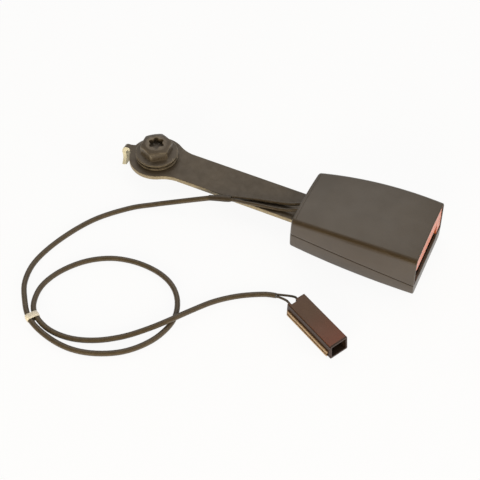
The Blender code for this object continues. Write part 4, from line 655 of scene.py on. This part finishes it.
def arch(half, base, crest, radius, crown=0.0, draft=0.0, edge=0.0):
    """An open outline from the near foot over the crest to the far foot. The crest may be below."""
    up = 1.0 if crest > base else -1.0
    rise = abs(crest - base)
    side = [(half - edge, 0.0), (half - 0.29 * edge, 0.29 * edge), (half, edge)]
    knee = half - draft
    straight = rise - radius
    for k in range(1, SIDE_STEPS):
        part = k / SIDE_STEPS
        side.append((half - draft * part * part, edge + (straight - edge) * part))
    for k in range(ARC_STEPS + 1):
        angle = 0.5 * pi * k / ARC_STEPS
        side.append((knee - radius * (1.0 - cos(angle)), rise - radius * (1.0 - sin(angle))))
    flat = knee - radius
    for k in range(1, ARC_STEPS + 1):
        across = flat * (1.0 - k / ARC_STEPS)
        side.append((across, rise + crown * (1.0 - (across / flat) ** 2)))
    points = [(-y, base + up * z) for y, z in side]
    points += [(y, base + up * z) for y, z in reversed(side[:-1])]
    return points


def column_at(x, outline):
    return [(raked(x, z), y, z) for y, z in outline]


def end_stations():
    """Position, inset and groove depth along the housing."""
    spots = []
    for k in range(10):
        angle = radians(10.0 * k)
        spots.append((REAR_ROUND * (1.0 - cos(angle)), REAR_ROUND * (1.0 - sin(angle)), 0.0))
    for past, groove in ((0.35, 0.0), (0.5, 0.16), (0.8, 0.16), (0.95, 0.0)):
        spots.append((REAR_ROUND + past, 0.0, groove))
    first = REAR_ROUND + 2.0
    last = COVER_LENGTH - FRONT_ROUND
    for k in range(STATIONS):
        spots.append((first + (last - first) * k / STATIONS, 0.0, 0.0))
    for k in range(8, -1, -1):
        angle = radians(90.0 * k / 8.0)
        spots.append((COVER_LENGTH - FRONT_ROUND * (1.0 - cos(angle)),
                      FRONT_ROUND * (1.0 - sin(angle)), 0.0))
    return spots


def cover_shell(name, section, rear_hole, mouth_hole):
    """One cover as a clean shell. Section gives an outline and the two holes are arches of its count."""
    rear = COVER_REAR
    outside = [column_at(rear + EDGE, rear_hole(0.0)), column_at(rear, rear_hole(EDGE))]
    inside = [column_at(rear + WALL - EDGE, rear_hole(0.0)),
              column_at(rear + WALL, rear_hole(EDGE))]
    for along, inset, groove in end_stations():
        outside.append(column_at(rear + along, section(along / COVER_LENGTH, inset, 0.0, groove)))
        within = WALL + along * (COVER_LENGTH - 2.0 * WALL) / COVER_LENGTH
        part = within / COVER_LENGTH
        inside.append(column_at(rear + within, section(part, 0.3 * inset, wall(part), 0.0)))
    outside += [column_at(MOUTH_X, mouth_hole(EDGE)),
                column_at(MOUTH_X - EDGE, mouth_hole(0.0))]
    inside += [column_at(MOUTH_X - WALL, mouth_hole(EDGE)),
               column_at(MOUTH_X - WALL + EDGE, mouth_hole(0.0))]
    return shell(name, outside + inside[::-1])


def upper_section(part, inset, shrink, groove):
    half = half_width(part) - inset - shrink
    crest = top_height(part) - 0.3 * inset - shrink - groove
    edge = EDGE if shrink == 0.0 else 0.1
    return arch(half, seam(part) + SEAM_GAP, crest, max(TOP_ROUND - shrink, 1.2), CROWN, 0.3, edge)


def lower_section(part, inset, shrink, groove):
    half = half_width(part) - inset - shrink
    floor = 0.6 * inset + shrink
    edge = EDGE if shrink == 0.0 else 0.1
    return arch(half, seam(part), floor, max(FLOOR_ROUND - shrink, 1.0), 0.0, 0.45, edge)


MOUTH_HALF = half_width(1.0) - LIP_WALL - 0.2
MOUTH_TOP = FRONT_HEIGHT - LIP_WALL
MOUTH_CORNER = 2.8
REAR_HOLE_HALF = 13.1
REAR_HOLE_TOP = 18.55
REAR_HOLE_LOW = 8.7
TONGUE_HALF = 17.5
TONGUE_LOW = 8.2
LATCH_ROOM = (34.0, 57.0)
POST_ROOM = (10.5, 62.0)


def make_covers():
    def upper_rear(grow):
        return arch(REAR_HOLE_HALF + grow, seam(0.0) + SEAM_GAP, REAR_HOLE_TOP + grow, 1.5 + grow)

    def upper_mouth(grow):
        return arch(MOUTH_HALF + grow, seam(1.0) + SEAM_GAP, MOUTH_TOP + grow, MOUTH_CORNER + grow,
                    CROWN)

    def lower_rear(grow):
        return arch(REAR_HOLE_HALF + grow, seam(0.0), REAR_HOLE_LOW - 0.5 * grow, 0.3)

    def lower_mouth(grow):
        return arch(TONGUE_HALF + grow, seam(1.0), TONGUE_LOW - grow, 0.4)

    upper = cover_shell("upper_cover_shell", upper_section, upper_rear, upper_mouth)
    extras = []
    for along in LATCH_ROOM:
        for side in (-1.0, 1.0):
            y0 = side * 15.3
            y1 = side * 17.7
            extras.append(box("rib", REAR_X + along, REAR_X + along + 2.0, min(y0, y1), max(y0, y1),
                              20.9, top_height(share_at(REAR_X + along)) - 0.9))
    post = REAR_X + 42.0
    extras.append(rod("boss", 3.5, 25.0, top_height(share_at(post)) + 0.4, "z", (post, 0.0)))
    combine(upper, extras, "UNION")
    show(upper, "upper_cover", "cover")
    lower = cover_shell("lower_cover_shell", lower_section, lower_rear, lower_mouth)
    extras = []
    for side in (-1.0, 1.0):
        rings = []
        for k in range(12):
            x = REAR_X + 8.0 + 5.0 * k
            edge = half_width(share_at(x))
            rise = seam(share_at(x))
            outer = edge - WALL - 0.3
            section = [(outer - 1.0, 3.0), (edge - 0.6 * WALL, 3.0), (edge - 0.6 * WALL, rise - 0.3),
                       (outer, rise - 0.3), (outer, rise + 1.8), (outer - 0.2, rise + 2.0),
                       (outer - 0.8, rise + 2.0), (outer - 1.0, rise + 1.8)]
            rings.append([(x, side * y, z) for y, z in section])
        extras.append(loft("lip", rings))
        for along in POST_ROOM:
            extras.append(rod("post", 2.2, 0.95, 6.4, "z", (REAR_X + along, side * 11.0), steps=24))
    combine(lower, extras, "UNION")
    show(lower, "lower_cover", "cover")


# Stalk with its tab

STRAP_LOW = 9.0
STRAP_TOP = 12.0


def offset(outline, inward):
    """A closed outline moved inward along its own normals."""
    moved = []
    count = len(outline)
    for k in range(count):
        ax, ay = outline[k - 1]
        bx, by = outline[(k + 1) % count]
        dx = bx - ax
        dy = by - ay
        size = hypot(dx, dy)
        moved.append((outline[k][0] + inward * dy / size, outline[k][1] - inward * dx / size))
    return moved


def stalk_outline():
    half = 12.5
    lug = 18.8
    flare = 22.0
    flare_y = half + flare
    flare_x = sqrt((lug + flare) ** 2 - flare_y ** 2)
    meet = atan2(flare_y, flare_x)
    upper = []
    for k in range(49):
        angle = pi - (pi - meet) * k / 48.0
        upper.append((lug * cos(angle), lug * sin(angle)))
    start = atan2(-flare_y, -flare_x)
    for k in range(1, 17):
        angle = start + (-0.5 * pi - start) * k / 16.0
        upper.append((flare_x + flare * cos(angle), flare_y + flare * sin(angle)))
    far = REAR_X + 24.0
    for k in range(1, 12):
        upper.append((flare_x + (far - 3.0 - flare_x) * k / 12.0, half))
    for k in range(9):
        angle = radians(90.0 - 11.25 * k)
        upper.append((far - 3.0 + 3.0 * cos(angle), half - 3.0 + 3.0 * sin(angle)))
    return upper + [(x, -y) for x, y in reversed(upper[1:])]


TAB_BEND = 4.2
TAB_REACH = 26.2
TAB_LEAN = radians(20.0)


def tab_ring(centre, angle, half, middle=0.5):
    outer = TAB_BEND
    inner = TAB_BEND - 3.0
    soft = 0.35
    ring = []
    corners = ((outer, half), (inner, half), (inner, -half), (outer, -half))
    for index, (reach, across) in enumerate(corners):
        sign_y = 1.0 if across > 0.0 else -1.0
        sign_r = 1.0 if reach == outer else -1.0
        steps = (0.0, 0.5, 1.0) if index % 2 == 0 else (1.0, 0.5, 0.0)
        for share in steps:
            turn = 0.5 * pi * share
            y = across - sign_y * soft * (1.0 - sin(turn))
            r = reach - sign_r * soft * (1.0 - cos(turn))
            ring.append((centre[0] + r * cos(angle), middle + y, centre[1] + r * sin(angle)))
    return ring


def make_tab():
    bend = (TAB_BEND - TAB_REACH, STRAP_TOP - TAB_BEND)
    root_x = -12.6
    root = 4.9
    neck = 1.9
    waist = 2.9
    up = radians(90.0)
    turn = up + TAB_LEAN
    rings = []
    for k in range(12):
        part = k / 12.0
        rings.append(tab_ring((root_x + (bend[0] - root_x) * part, bend[1]), up,
                              root - (root - neck) * eased(part)))
    for k in range(21):
        part = k / 20.0
        rings.append(tab_ring(bend, up + turn * part, neck + (waist - neck) * part * part))
    down = up + turn
    along = (-sin(down), cos(down))
    length = (bend[1] + TAB_BEND * sin(down)) / -along[1]
    toe = 0.9
    foot = 6.8
    skew = 0.8
    for k in range(1, 8):
        run = (length - toe) * k / 7.0
        spread = (k / 7.0) ** 2.0
        rings.append(tab_ring((bend[0] + along[0] * run, bend[1] + along[1] * run), down,
                              waist + (foot - waist) * spread, 0.5 - skew * spread))
    for k in range(1, 8):
        angle = radians(12.0 * k)
        run = length - toe * (1.0 - sin(angle))
        rings.append(tab_ring((bend[0] + along[0] * run, bend[1] + along[1] * run), down,
                              foot - toe * (1.0 - cos(angle)), 0.5 - skew))
    return loft("tab", rings)


def make_stalk():
    outline = stalk_outline()
    levels = ((STRAP_LOW, 0.22), (STRAP_LOW + 0.06, 0.07), (STRAP_LOW + 0.22, 0.0),
              (STRAP_TOP - 0.5, 0.0), (STRAP_TOP - 0.24, 0.09), (STRAP_TOP - 0.07, 0.27),
              (STRAP_TOP, 0.55))
    rings = [[(x, y, z) for x, y in offset(outline, inward)] for z, inward in levels]
    stalk = loft("stalk_strap", rings)
    combine(stalk, [make_tab()], "UNION")
    holes = [rod("hole", 8.8, 0.0, 13.0, "z", (0.0, 0.0), steps=64)]
    for along in (10.5, 20.2):
        holes.append(rod("hole", 3.3, 0.0, 13.0, "z", (REAR_X + along, 0.0)))
    combine(stalk, holes, "DIFFERENCE")
    show(stalk, "stalk", "strap")
    bare_edges(stalk.data)


def bare_edges(mesh):
    """The cut edges of the strap and of its tab, and the tab's inner face, are pale: on the strap partly
    a painted reflection, on the tab a painted highlight. The pressed faces keep their coating.
    """
    coated = 0
    strap_edge_and_reflection = 1
    tab_edge_and_highlight = 2
    mesh.materials.append(LOOKS["strap_edge_and_reflection"])
    mesh.materials.append(LOOKS["tab_edge_and_highlight"])
    tab_from = (BOLT_X - 18.9) * MM
    bend_from = (BOLT_X - 20.5) * MM
    for face in mesh.polygons:
        if face.center.x < tab_from:
            cut = abs(face.normal.y) > 0.5 and face.center.x < bend_from
            inner = face.normal.x > 0.3 and face.center.z < STRAP_LOW * MM
            face.material_index = tab_edge_and_highlight if cut or inner else coated
        elif abs(face.normal.z) < 0.35:
            face.material_index = strap_edge_and_reflection


# Anchor bolt

def make_bolt():
    steps = 120
    turn = radians(-22.0)
    low = 15.4
    top = low + 9.2
    flats = 9.5
    cone = 0.42
    table = 7.2

    def hexagon(angle):
        local = (angle - turn) % radians(60.0) - radians(30.0)
        reach = flats / cos(local)
        return min(reach, 10.97 - 0.28 + 0.06 * cos(6.0 * (angle - turn)))

    def star(angle):
        return 5.25 - 0.62 * (1.0 - cos(6.0 * angle))

    def ring(radius, height):
        points = []
        for k in range(steps):
            angle = turn + 2.0 * pi * k / steps
            r = radius(angle) if callable(radius) else radius
            z = height(angle) if callable(height) else height
            points.append((r * cos(angle), r * sin(angle), z))
        return points

    def chamfer(inside):
        return lambda angle: top - cone * (hexagon(angle) - inside - table)

    rings = [ring(lambda a: 0.45 * star(a), top - 3.6), ring(lambda a: star(a) - 0.3, top - 3.6),
             ring(star, top - 3.3), ring(star, top - 0.45), ring(lambda a: star(a) + 0.12, top - 0.14),
             ring(lambda a: star(a) + 0.45, top), ring(table - 0.3, top), ring(table, top - 0.04),
             ring(table + 0.3, top - 0.15),
             ring(lambda a: 0.5 * (table - 0.1 + hexagon(a)),
                  lambda a: 0.5 * (top - 0.15 + chamfer(0.4)(a))),
             ring(lambda a: hexagon(a) - 0.4, chamfer(0.4)),
             ring(lambda a: hexagon(a) - 0.1, lambda a: chamfer(0.1)(a) - 0.05),
             ring(hexagon, lambda a: chamfer(0.0)(a) - 0.35),
             ring(hexagon, low + 3.2), ring(hexagon, low + 2.1),
             ring(lambda a: hexagon(a) + 0.12, low + 1.78), ring(lambda a: hexagon(a) + 0.5, low + 1.6)]
    flange = ((12.2, 1.36), (13.5, 1.15), (13.9, 1.05), (14.13, 0.85), (14.2, 0.6), (14.13, 0.2),
              (13.9, 0.0), (6.5, 0.0), (6.2, -0.08), (6.0, -0.3))
    rings += [ring(radius, low + height) for radius, height in flange]
    rings += [ring(6.0, 6.6), ring(5.95, 6.3)]
    pitch = 1.25
    thread_top = 6.2
    level = thread_top
    while level > 0.45:
        fade = min(1.0, (thread_top - level) / 0.9)

        def crest(angle, z=level, share=fade):
            phase = (z / pitch - angle / (2.0 * pi)) % 1.0
            depth = 0.72 * min(1.0, max(0.0, 1.45 * abs(2.0 * phase - 1.0) - 0.22))
            limit = 4.85 + 0.62 * min(z, 1.8)
            return min(5.95 - depth * share, limit)

        rings.append(ring(crest, level))
        level -= 0.125
    rings += [ring(5.0, 0.4), ring(4.8, 0.12), ring(4.55, 0.0), ring(2.0, 0.0)]
    bolt = loft("anchor_bolt_flanged", rings)
    show(bolt, "anchor_bolt", "bolt", body="bolt", sharp=50.0)


# Release button

BUTTON_GAP = 0.35
BUTTON_DEPTH = 9.0
BUTTON_DISH = 0.6
BUTTON_TAPER = 0.03
BUTTON_WALL = 1.6
BUTTON_FRONT_WALL = 3.3
BUTTON_ROUND = 2.2
EAR_LOW = 10.4
LEG_END = REAR_X + 47.4
BAR_X = REAR_X + 50.0


def button_face(height):
    return raked(MOUTH_X, height) - BUTTON_GAP


def make_button():
    half = MOUTH_HALF - BUTTON_GAP
    top = MOUTH_TOP - BUTTON_GAP
    back = MOUTH_X - BUTTON_DEPTH
    low = 15.6
    sill = low + 4.2
    rings = []
    count = 33
    for k in range(count):
        share = -1.0 + 2.0 * k / (count - 1)
        end = 0.5 * (1.0 - abs(share)) * (count - 1)
        inset = 0.0
        if end < 2.5:
            inset = 0.45 * (1.0 - sin(acos(1.0 - end / 2.5)))
        y = share * half
        bulge = 1.0 - share * share
        dish = BUTTON_DISH * bulge
        corner = min(1.0, (1.0 - abs(share)) * half / BUTTON_ROUND)
        fall = 1.0 - sqrt(max(0.0, 1.0 - (1.0 - corner) ** 2))
        high = top + CROWN * bulge - BUTTON_ROUND * fall
        profile = [(back, low + inset), (button_face(low) - 5.0 - inset, low + inset),
                   (button_face(sill) - 0.45 - inset, sill - 0.1 + inset),
                   (button_face(sill) - 0.15 - inset, sill + 0.12 + inset),
                   (button_face(sill) - inset, sill + 0.5 + inset)]
        for m in range(1, 12):
            part = m / 12.0
            z = sill + 0.5 + inset + (high - 1.5 - inset - sill) * part
            profile.append((button_face(z) - inset - dish * sin(pi * part) ** 0.8, z))
        for m in range(6):
            angle = radians(18.0 * m)
            profile.append((button_face(high) - inset - 1.0 + cos(angle),
                            high - 1.0 - inset + sin(angle)))
        profile.append((button_face(high) - 1.8 - inset, high - 0.5 - inset))
        profile.append((back, high - 1.3 - inset))
        rings.append([(x, y * (1.0 - BUTTON_TAPER * (MOUTH_X - x) / BUTTON_DEPTH), z)
                      for x, z in profile])
    button = loft("release_button_cap", rings)
    seat = button_face(top) - BUTTON_FRONT_WALL
    inner = half - BUTTON_WALL
    combine(button, [box("hollow", back - 1.0, seat, -inner, inner, low + BUTTON_WALL, top - 2.32)],
            "DIFFERENCE")
    extras = []
    for side in (-1.0, 1.0):
        ear_in = side * 17.95
        ear_out = side * (half - 0.15)
        step = 1.6 if side < 0.0 else 0.2
        foot = button_face(EAR_LOW) - step
        ear = [(back + 2.0, EAR_LOW), (foot - 0.3, EAR_LOW), (foot, EAR_LOW + 0.3),
               (button_face(sill + 1.0) - step, sill + 1.0), (back + 2.0, sill + 1.0)]
        extras.append(prism("ear", ear, min(ear_in, ear_out), max(ear_in, ear_out), "y"))
        leg = [(LEG_END, 13.4), (LEG_END + 0.6, 12.8), (back + 4.0, 12.8), (back + 4.0, 17.0),
               (LEG_END + 0.6, 17.0), (LEG_END, 16.4)]
        leg_sides = sorted((side * 17.8, side * 20.2))
        extras.append(prism("leg", leg, *leg_sides, "y"))
        extras.append(rod("peg", 1.8, seat - 3.0, seat + 0.5, "x", (side * 10.0, 20.6), steps=24))
    combine(button, extras, "UNION")
    combine(button, [rod("bar_hole", 1.9, -30.0, 30.0, "y", (BAR_X, 14.9))], "DIFFERENCE")
    show(button, "release_button", "button", body="button")


# Plug

def plug_point(along, across, height):
    c = cos(PLUG_TURN)
    s = sin(PLUG_TURN)
    return (PLUG_PLACE[0] + along * c - across * s, PLUG_PLACE[1] + along * s + across * c, height)


def plug_ring(x, grow, width=PLUG_WIDTH, height=PLUG_HEIGHT, corner=0.0, radius=0.9, steps=5):
    ring = []
    for cy, cz, first in ((width - radius, radius, -90.0), (width - radius, height - radius, 0.0),
                          (radius, height - radius, 90.0), (radius, radius, 180.0)):
        for k in range(steps + 1):
            angle = radians(first + 90.0 * k / steps)
            y = corner + cy + (radius + grow) * cos(angle)
            z = corner + cz + (radius + grow) * sin(angle)
            ring.append((x(z) if callable(x) else x, y, z))
    return ring


def make_plug():
    def front(back):
        return lambda z: PLUG_LENGTH - back + 1.6 * (1.0 - z / PLUG_HEIGHT)

    def socket_ring(x, grow):
        return plug_ring(x, grow, SOCKET_WIDTH, SOCKET_HEIGHT, PLUG_WALL, 0.5, 3)

    rings = [plug_ring(0.0, -0.3), plug_ring(0.09, -0.09), plug_ring(0.3, 0.0),
             plug_ring(front(0.3), 0.0), plug_ring(front(0.09), -0.09), plug_ring(front(0.0), -0.3)]
    plug = loft("plug_body", rings)
    extras = []
    for low, high, soft in ((3.0, 5.0, 0.3), (0.6, 1.8, 0.2)):
        near = 0.3 * soft
        section = [(0.65, low), (0.65, high), (-1.0 + soft, high), (-1.0 + near, high - near),
                   (-1.0, high - soft), (-1.0, low + soft), (-1.0 + near, low + near),
                   (-1.0 + soft, low)]
        ends = ((1.0, 0.7), (1.5, 1.0), (37.4, 1.0), (38.0, 0.7))
        extras.append(loft("rib", [[(x, y * share, z) for y, z in section] for x, share in ends]))
    combine(plug, extras, "UNION")
    tools = [loft("socket", [socket_ring(23.0, 0.0), socket_ring(39.6, 0.0), socket_ring(42.0, 0.3)]),
             box("notch", -1.0, 1.8, 1.7, 6.6, 2.4, 11.0),
             box("groove", -1.0, 42.0, -0.6, 0.35, 2.1, 2.7)]
    for across in PLUG_WAYS:
        tools.append(box("way", -1.0, 24.0, across - 1.6, across + 1.6, 3.4, 6.6))
    combine(plug, tools, "DIFFERENCE")
    for vert in plug.data.vertices:
        vert.co = plug_point(*vert.co)
    show(plug, "plug_housing", "plug")
    return plug


# Cords: the same routes as the part's own source

CABLE_ROUTE = [
    (49.2, -19.3, 13.0), (40.0, -22.5, 10.2), (28.4, -26.3, 6.3), (14.7, -32.4, 3.0),
    (1.0, -41.9, 1.9), (-14.4, -60.4, 1.9), (-24.7, -83.5, 1.9), (-29.2, -105.2, 1.9),
    (-26.4, -121.7, 1.9), (-18.4, -134.2, 2.1), (-8.2, -144.7, 2.9), (5.7, -150.3, 2.1),
    (22.6, -152.4, 1.9), (38.6, -149.0, 1.9), (53.9, -140.0, 1.9), (64.8, -125.9, 1.9),
    (69.0, -110.0, 1.9), (65.7, -96.6, 1.9), (57.2, -86.3, 1.9), (44.6, -80.5, 1.9),
    (28.3, -79.3, 1.9), (12.4, -83.1, 1.9), (-1.2, -92.4, 1.9), (-11.0, -106.0, 1.9),
    (-15.1, -120.2, 1.9), (-12.6, -133.0, 2.1), (-5.9, -141.3, 2.9), (6.0, -146.2, 2.1),
    (20.5, -146.0, 1.9), (34.8, -140.8, 1.9), (48.3, -132.0, 2.8), (59.7, -121.7, 4.7),
    (68.8, -111.0, 5.9), (76.3, -98.9, 4.6), (85.0, -85.8, 2.8), (96.3, -75.0, 1.9),
    (109.3, -67.2, 1.9), (116.8, -65.3, 2.6),
]
CABLE_DIAMETER = 3.4
LEAD_DIAMETER = 2.2
WIRE_DIAMETER = 1.5
SPLIT = Vector((60.6, -15.0, 13.8))
SPLIT_END = Vector((49.7, -19.0, 13.1))
SPLIT_RUN = (SPLIT_END - SPLIT).normalized()
SPLIT_SIDE = Vector((-SPLIT_RUN.y, SPLIT_RUN.x, 0.0)).normalized()
LEAD_HEIGHT = 16.35


def smooth_route(points, spacing):
    """Points at an even spacing on a smooth curve through the route's own points."""
    pts = [Vector(p) for p in points]
    dense = []
    for k in range(len(pts) - 1):
        p0 = pts[max(k - 1, 0)]
        p1 = pts[k]
        p2 = pts[k + 1]
        p3 = pts[min(k + 2, len(pts) - 1)]
        for s in range(16):
            t = s / 16.0
            a = p1 * 2.0
            b = (p2 - p0) * t
            c = (p0 * 2.0 - p1 * 5.0 + p2 * 4.0 - p3) * (t * t)
            d = (p1 * 3.0 - p0 - p2 * 3.0 + p3) * (t * t * t)
            dense.append((a + b + c + d) * 0.5)
    dense.append(pts[-1])
    reach = [0.0]
    for k in range(1, len(dense)):
        reach.append(reach[-1] + (dense[k] - dense[k - 1]).length)
    count = max(2, round(reach[-1] / spacing))
    even = []
    at = 0
    for k in range(count + 1):
        want = reach[-1] * k / count
        while at < len(reach) - 2 and reach[at + 1] < want:
            at += 1
        span = reach[at + 1] - reach[at]
        even.append(dense[at].lerp(dense[at + 1], (want - reach[at]) / span if span > 0.0 else 0.0))
    return even, reach[-1]


def make_cord(name, node, points, diameter, look):
    """A round cord as one open curve."""
    route, length = smooth_route(points, 0.9 * diameter)
    curve = bpy.data.curves.new(name, "CURVE")
    curve.dimensions = "3D"
    curve.bevel_depth = 0.5 * diameter * MM
    curve.bevel_resolution = 5
    curve.use_fill_caps = True
    spline = curve.splines.new("POLY")
    spline.points.add(len(route) - 1)
    for point, place in zip(spline.points, route):
        point.co = ((place.x + BOLT_X) * MM, place.y * MM, place.z * MM, 1.0)
    spline.use_smooth = True
    curve.materials.append(LOOKS[look])
    piece = bpy.data.objects.new(name, curve)
    link(piece)
    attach(piece, "buckle")
    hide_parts(node)
    return piece


def make_joint_sleeve():
    up = SPLIT_RUN.cross(SPLIT_SIDE)
    rings = []
    shape = ((-0.130, 0.70), (-0.128, 0.82), (-0.120, 0.90), (-0.09, 0.96), (0.0, 1.0), (0.15, 1.04),
             (0.3, 1.05), (0.5, 1.03), (0.7, 0.98), (0.9, 0.93), (1.06, 0.91), (1.10, 0.89),
             (1.115, 0.86), (1.12, 0.80))
    for part, size in shape:
        centre = SPLIT + (SPLIT_END - SPLIT) * part
        wide = 2.05 * size
        flat = 1.0 + 0.24 * min(1.0, max(0.0, 1.0 - 2.0 * part))
        ring = []
        for k in range(36):
            angle = 2.0 * pi * k / 36.0
            out = SPLIT_SIDE * (wide * flat * cos(angle)) + up * (wide * sin(angle))
            ring.append(tuple(centre + out))
        rings.append(ring)
    sleeve = loft("joint_overmould", rings)
    show(sleeve, "joint_sleeve", "joint")
    return sleeve


def make_tie():
    """Pale tape wound round both runs of the cable, its layers slightly askew."""
    a = Vector(CABLE_ROUTE[10])
    b = Vector(CABLE_ROUTE[26])
    centre = (a + b) * 0.5
    spread = b - a
    spread.z = 0.0
    side = spread.normalized()
    along = Vector((side.y, -side.x, 0.0))
    half_span = 0.5 * spread.length
    inner = 0.5 * CABLE_DIAMETER + 0.12
    profile = ((-1.0, 0.0), (1.0, 0.0), (1.0, 0.12), (0.94, 0.18), (0.58, 0.22), (0.52, 0.30),
               (0.42, 0.35), (-0.35, 0.35), (-0.45, 0.30), (-0.5, 0.22), (-0.94, 0.18), (-1.0, 0.12))
    rings = []
    for index, (edge, rise) in enumerate(profile):
        ring = []
        for end in (1.0, -1.0):
            for k in range(17):
                angle = radians(11.25 * k - 90.0 * end)
                ripple = 0.025 * sin(5.0 * angle + 1.3 * index) if rise > 0.2 else 0.0
                skew = 0.14 * sin(angle + 0.6)
                reach = inner + rise + ripple
                place = centre + side * (end * half_span + reach * cos(angle))
                place = place + Vector((0.0, 0.0, reach * sin(angle)))
                place = place + along * (edge * 2.1 + skew * (0.6 if rise > 0.25 else 0.2))
                ring.append(tuple(place))
        rings.append(ring)
    tie = loft("tape_tie", rings, around=True)
    show(tie, "tie", "tape")
    return tie


def strand_route(across, bends, end):
    """From its crimp, out of the housing, through its bends and into the joint sleeve."""
    inside = [(REAR_X + past, across, LEAD_HEIGHT) for past in (4.6, 1.0)]
    leaving = (REAR_X - 3.0, across, LEAD_HEIGHT - 0.05)
    return inside + [leaving] + bends + [end - SPLIT_RUN * 4.0, end]


def make_cords(plug):
    sleeve = make_joint_sleeve()
    tie = make_tie()
    end = SPLIT - SPLIT_RUN * 0.3
    far_end = end - SPLIT_SIDE * 1.3
    near_end = end + SPLIT_SIDE * 1.3
    rest = 13.4
    drop = rest + 0.9
    far = strand_route(-1.0, [(99.0, -2.2, drop), (91.7, -3.7, rest), (84.2, -5.7, rest),
                              (76.6, -7.7, rest), (70.4, -9.7, rest)], far_end)
    near = strand_route(-6.4, [(100.0, -7.5, drop), (94.0, -8.7, rest), (86.3, -10.3, rest),
                               (78.5, -11.6, rest), (71.9, -13.1, rest)], near_end)
    make_cord("lead_strand_far", "buckle_lead_far", far, LEAD_DIAMETER, "strand")
    make_cord("lead_strand_near", "buckle_lead_near", near, LEAD_DIAMETER, "strand")
    make_cord("cable_run", "cable", CABLE_ROUTE, CABLE_DIAMETER, "jacket")
    end = Vector(CABLE_ROUTE[-1])
    out = (end - Vector(CABLE_ROUTE[-2])).normalized()
    beside = Vector((-out.y, out.x, 0.0)).normalized()
    for name, across, shift in (("near", PLUG_WAYS[0], -1.0), ("far", PLUG_WAYS[1], 1.0)):
        offset_by = beside * (shift * 0.62 * WIRE_DIAMETER)
        points = [end + out * 0.3 + offset_by, end + out * 2.0 + offset_by,
                  plug_point(-5.0, across - 0.4 * shift, 4.4), plug_point(-1.0, across, 5.0),
                  plug_point(18.0, across, 5.0)]
        make_cord("plug_lead_" + name, "plug_wire_" + name, points, WIRE_DIAMETER, "strand")


# Springs, each given a mesh of its own

BUTTON_TRAVEL = 6.0 * MM
EJECTOR_TRAVEL = 14.0 * MM


def span(node, axis):
    """The least and the greatest place of a node along an axis, in metres."""
    places = [(node.matrix_world @ vert.co)[axis] for vert in node.data.vertices]
    return min(places), max(places)


def squash_springs():
    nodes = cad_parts
    for name, joint, travel in (("button_spring_left", "button_press", BUTTON_TRAVEL),
                                ("button_spring_right", "button_press", BUTTON_TRAVEL),
                                ("ejector_spring", "ejector_push", EJECTOR_TRAVEL)):
        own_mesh(nodes[name])
    spring = nodes["latch_spring"]
    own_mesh(spring)


make_camera()
make_studio()
dress_nodes()
make_covers()
make_stalk()
make_bolt()
make_button()
make_cords(make_plug())
squash_springs()
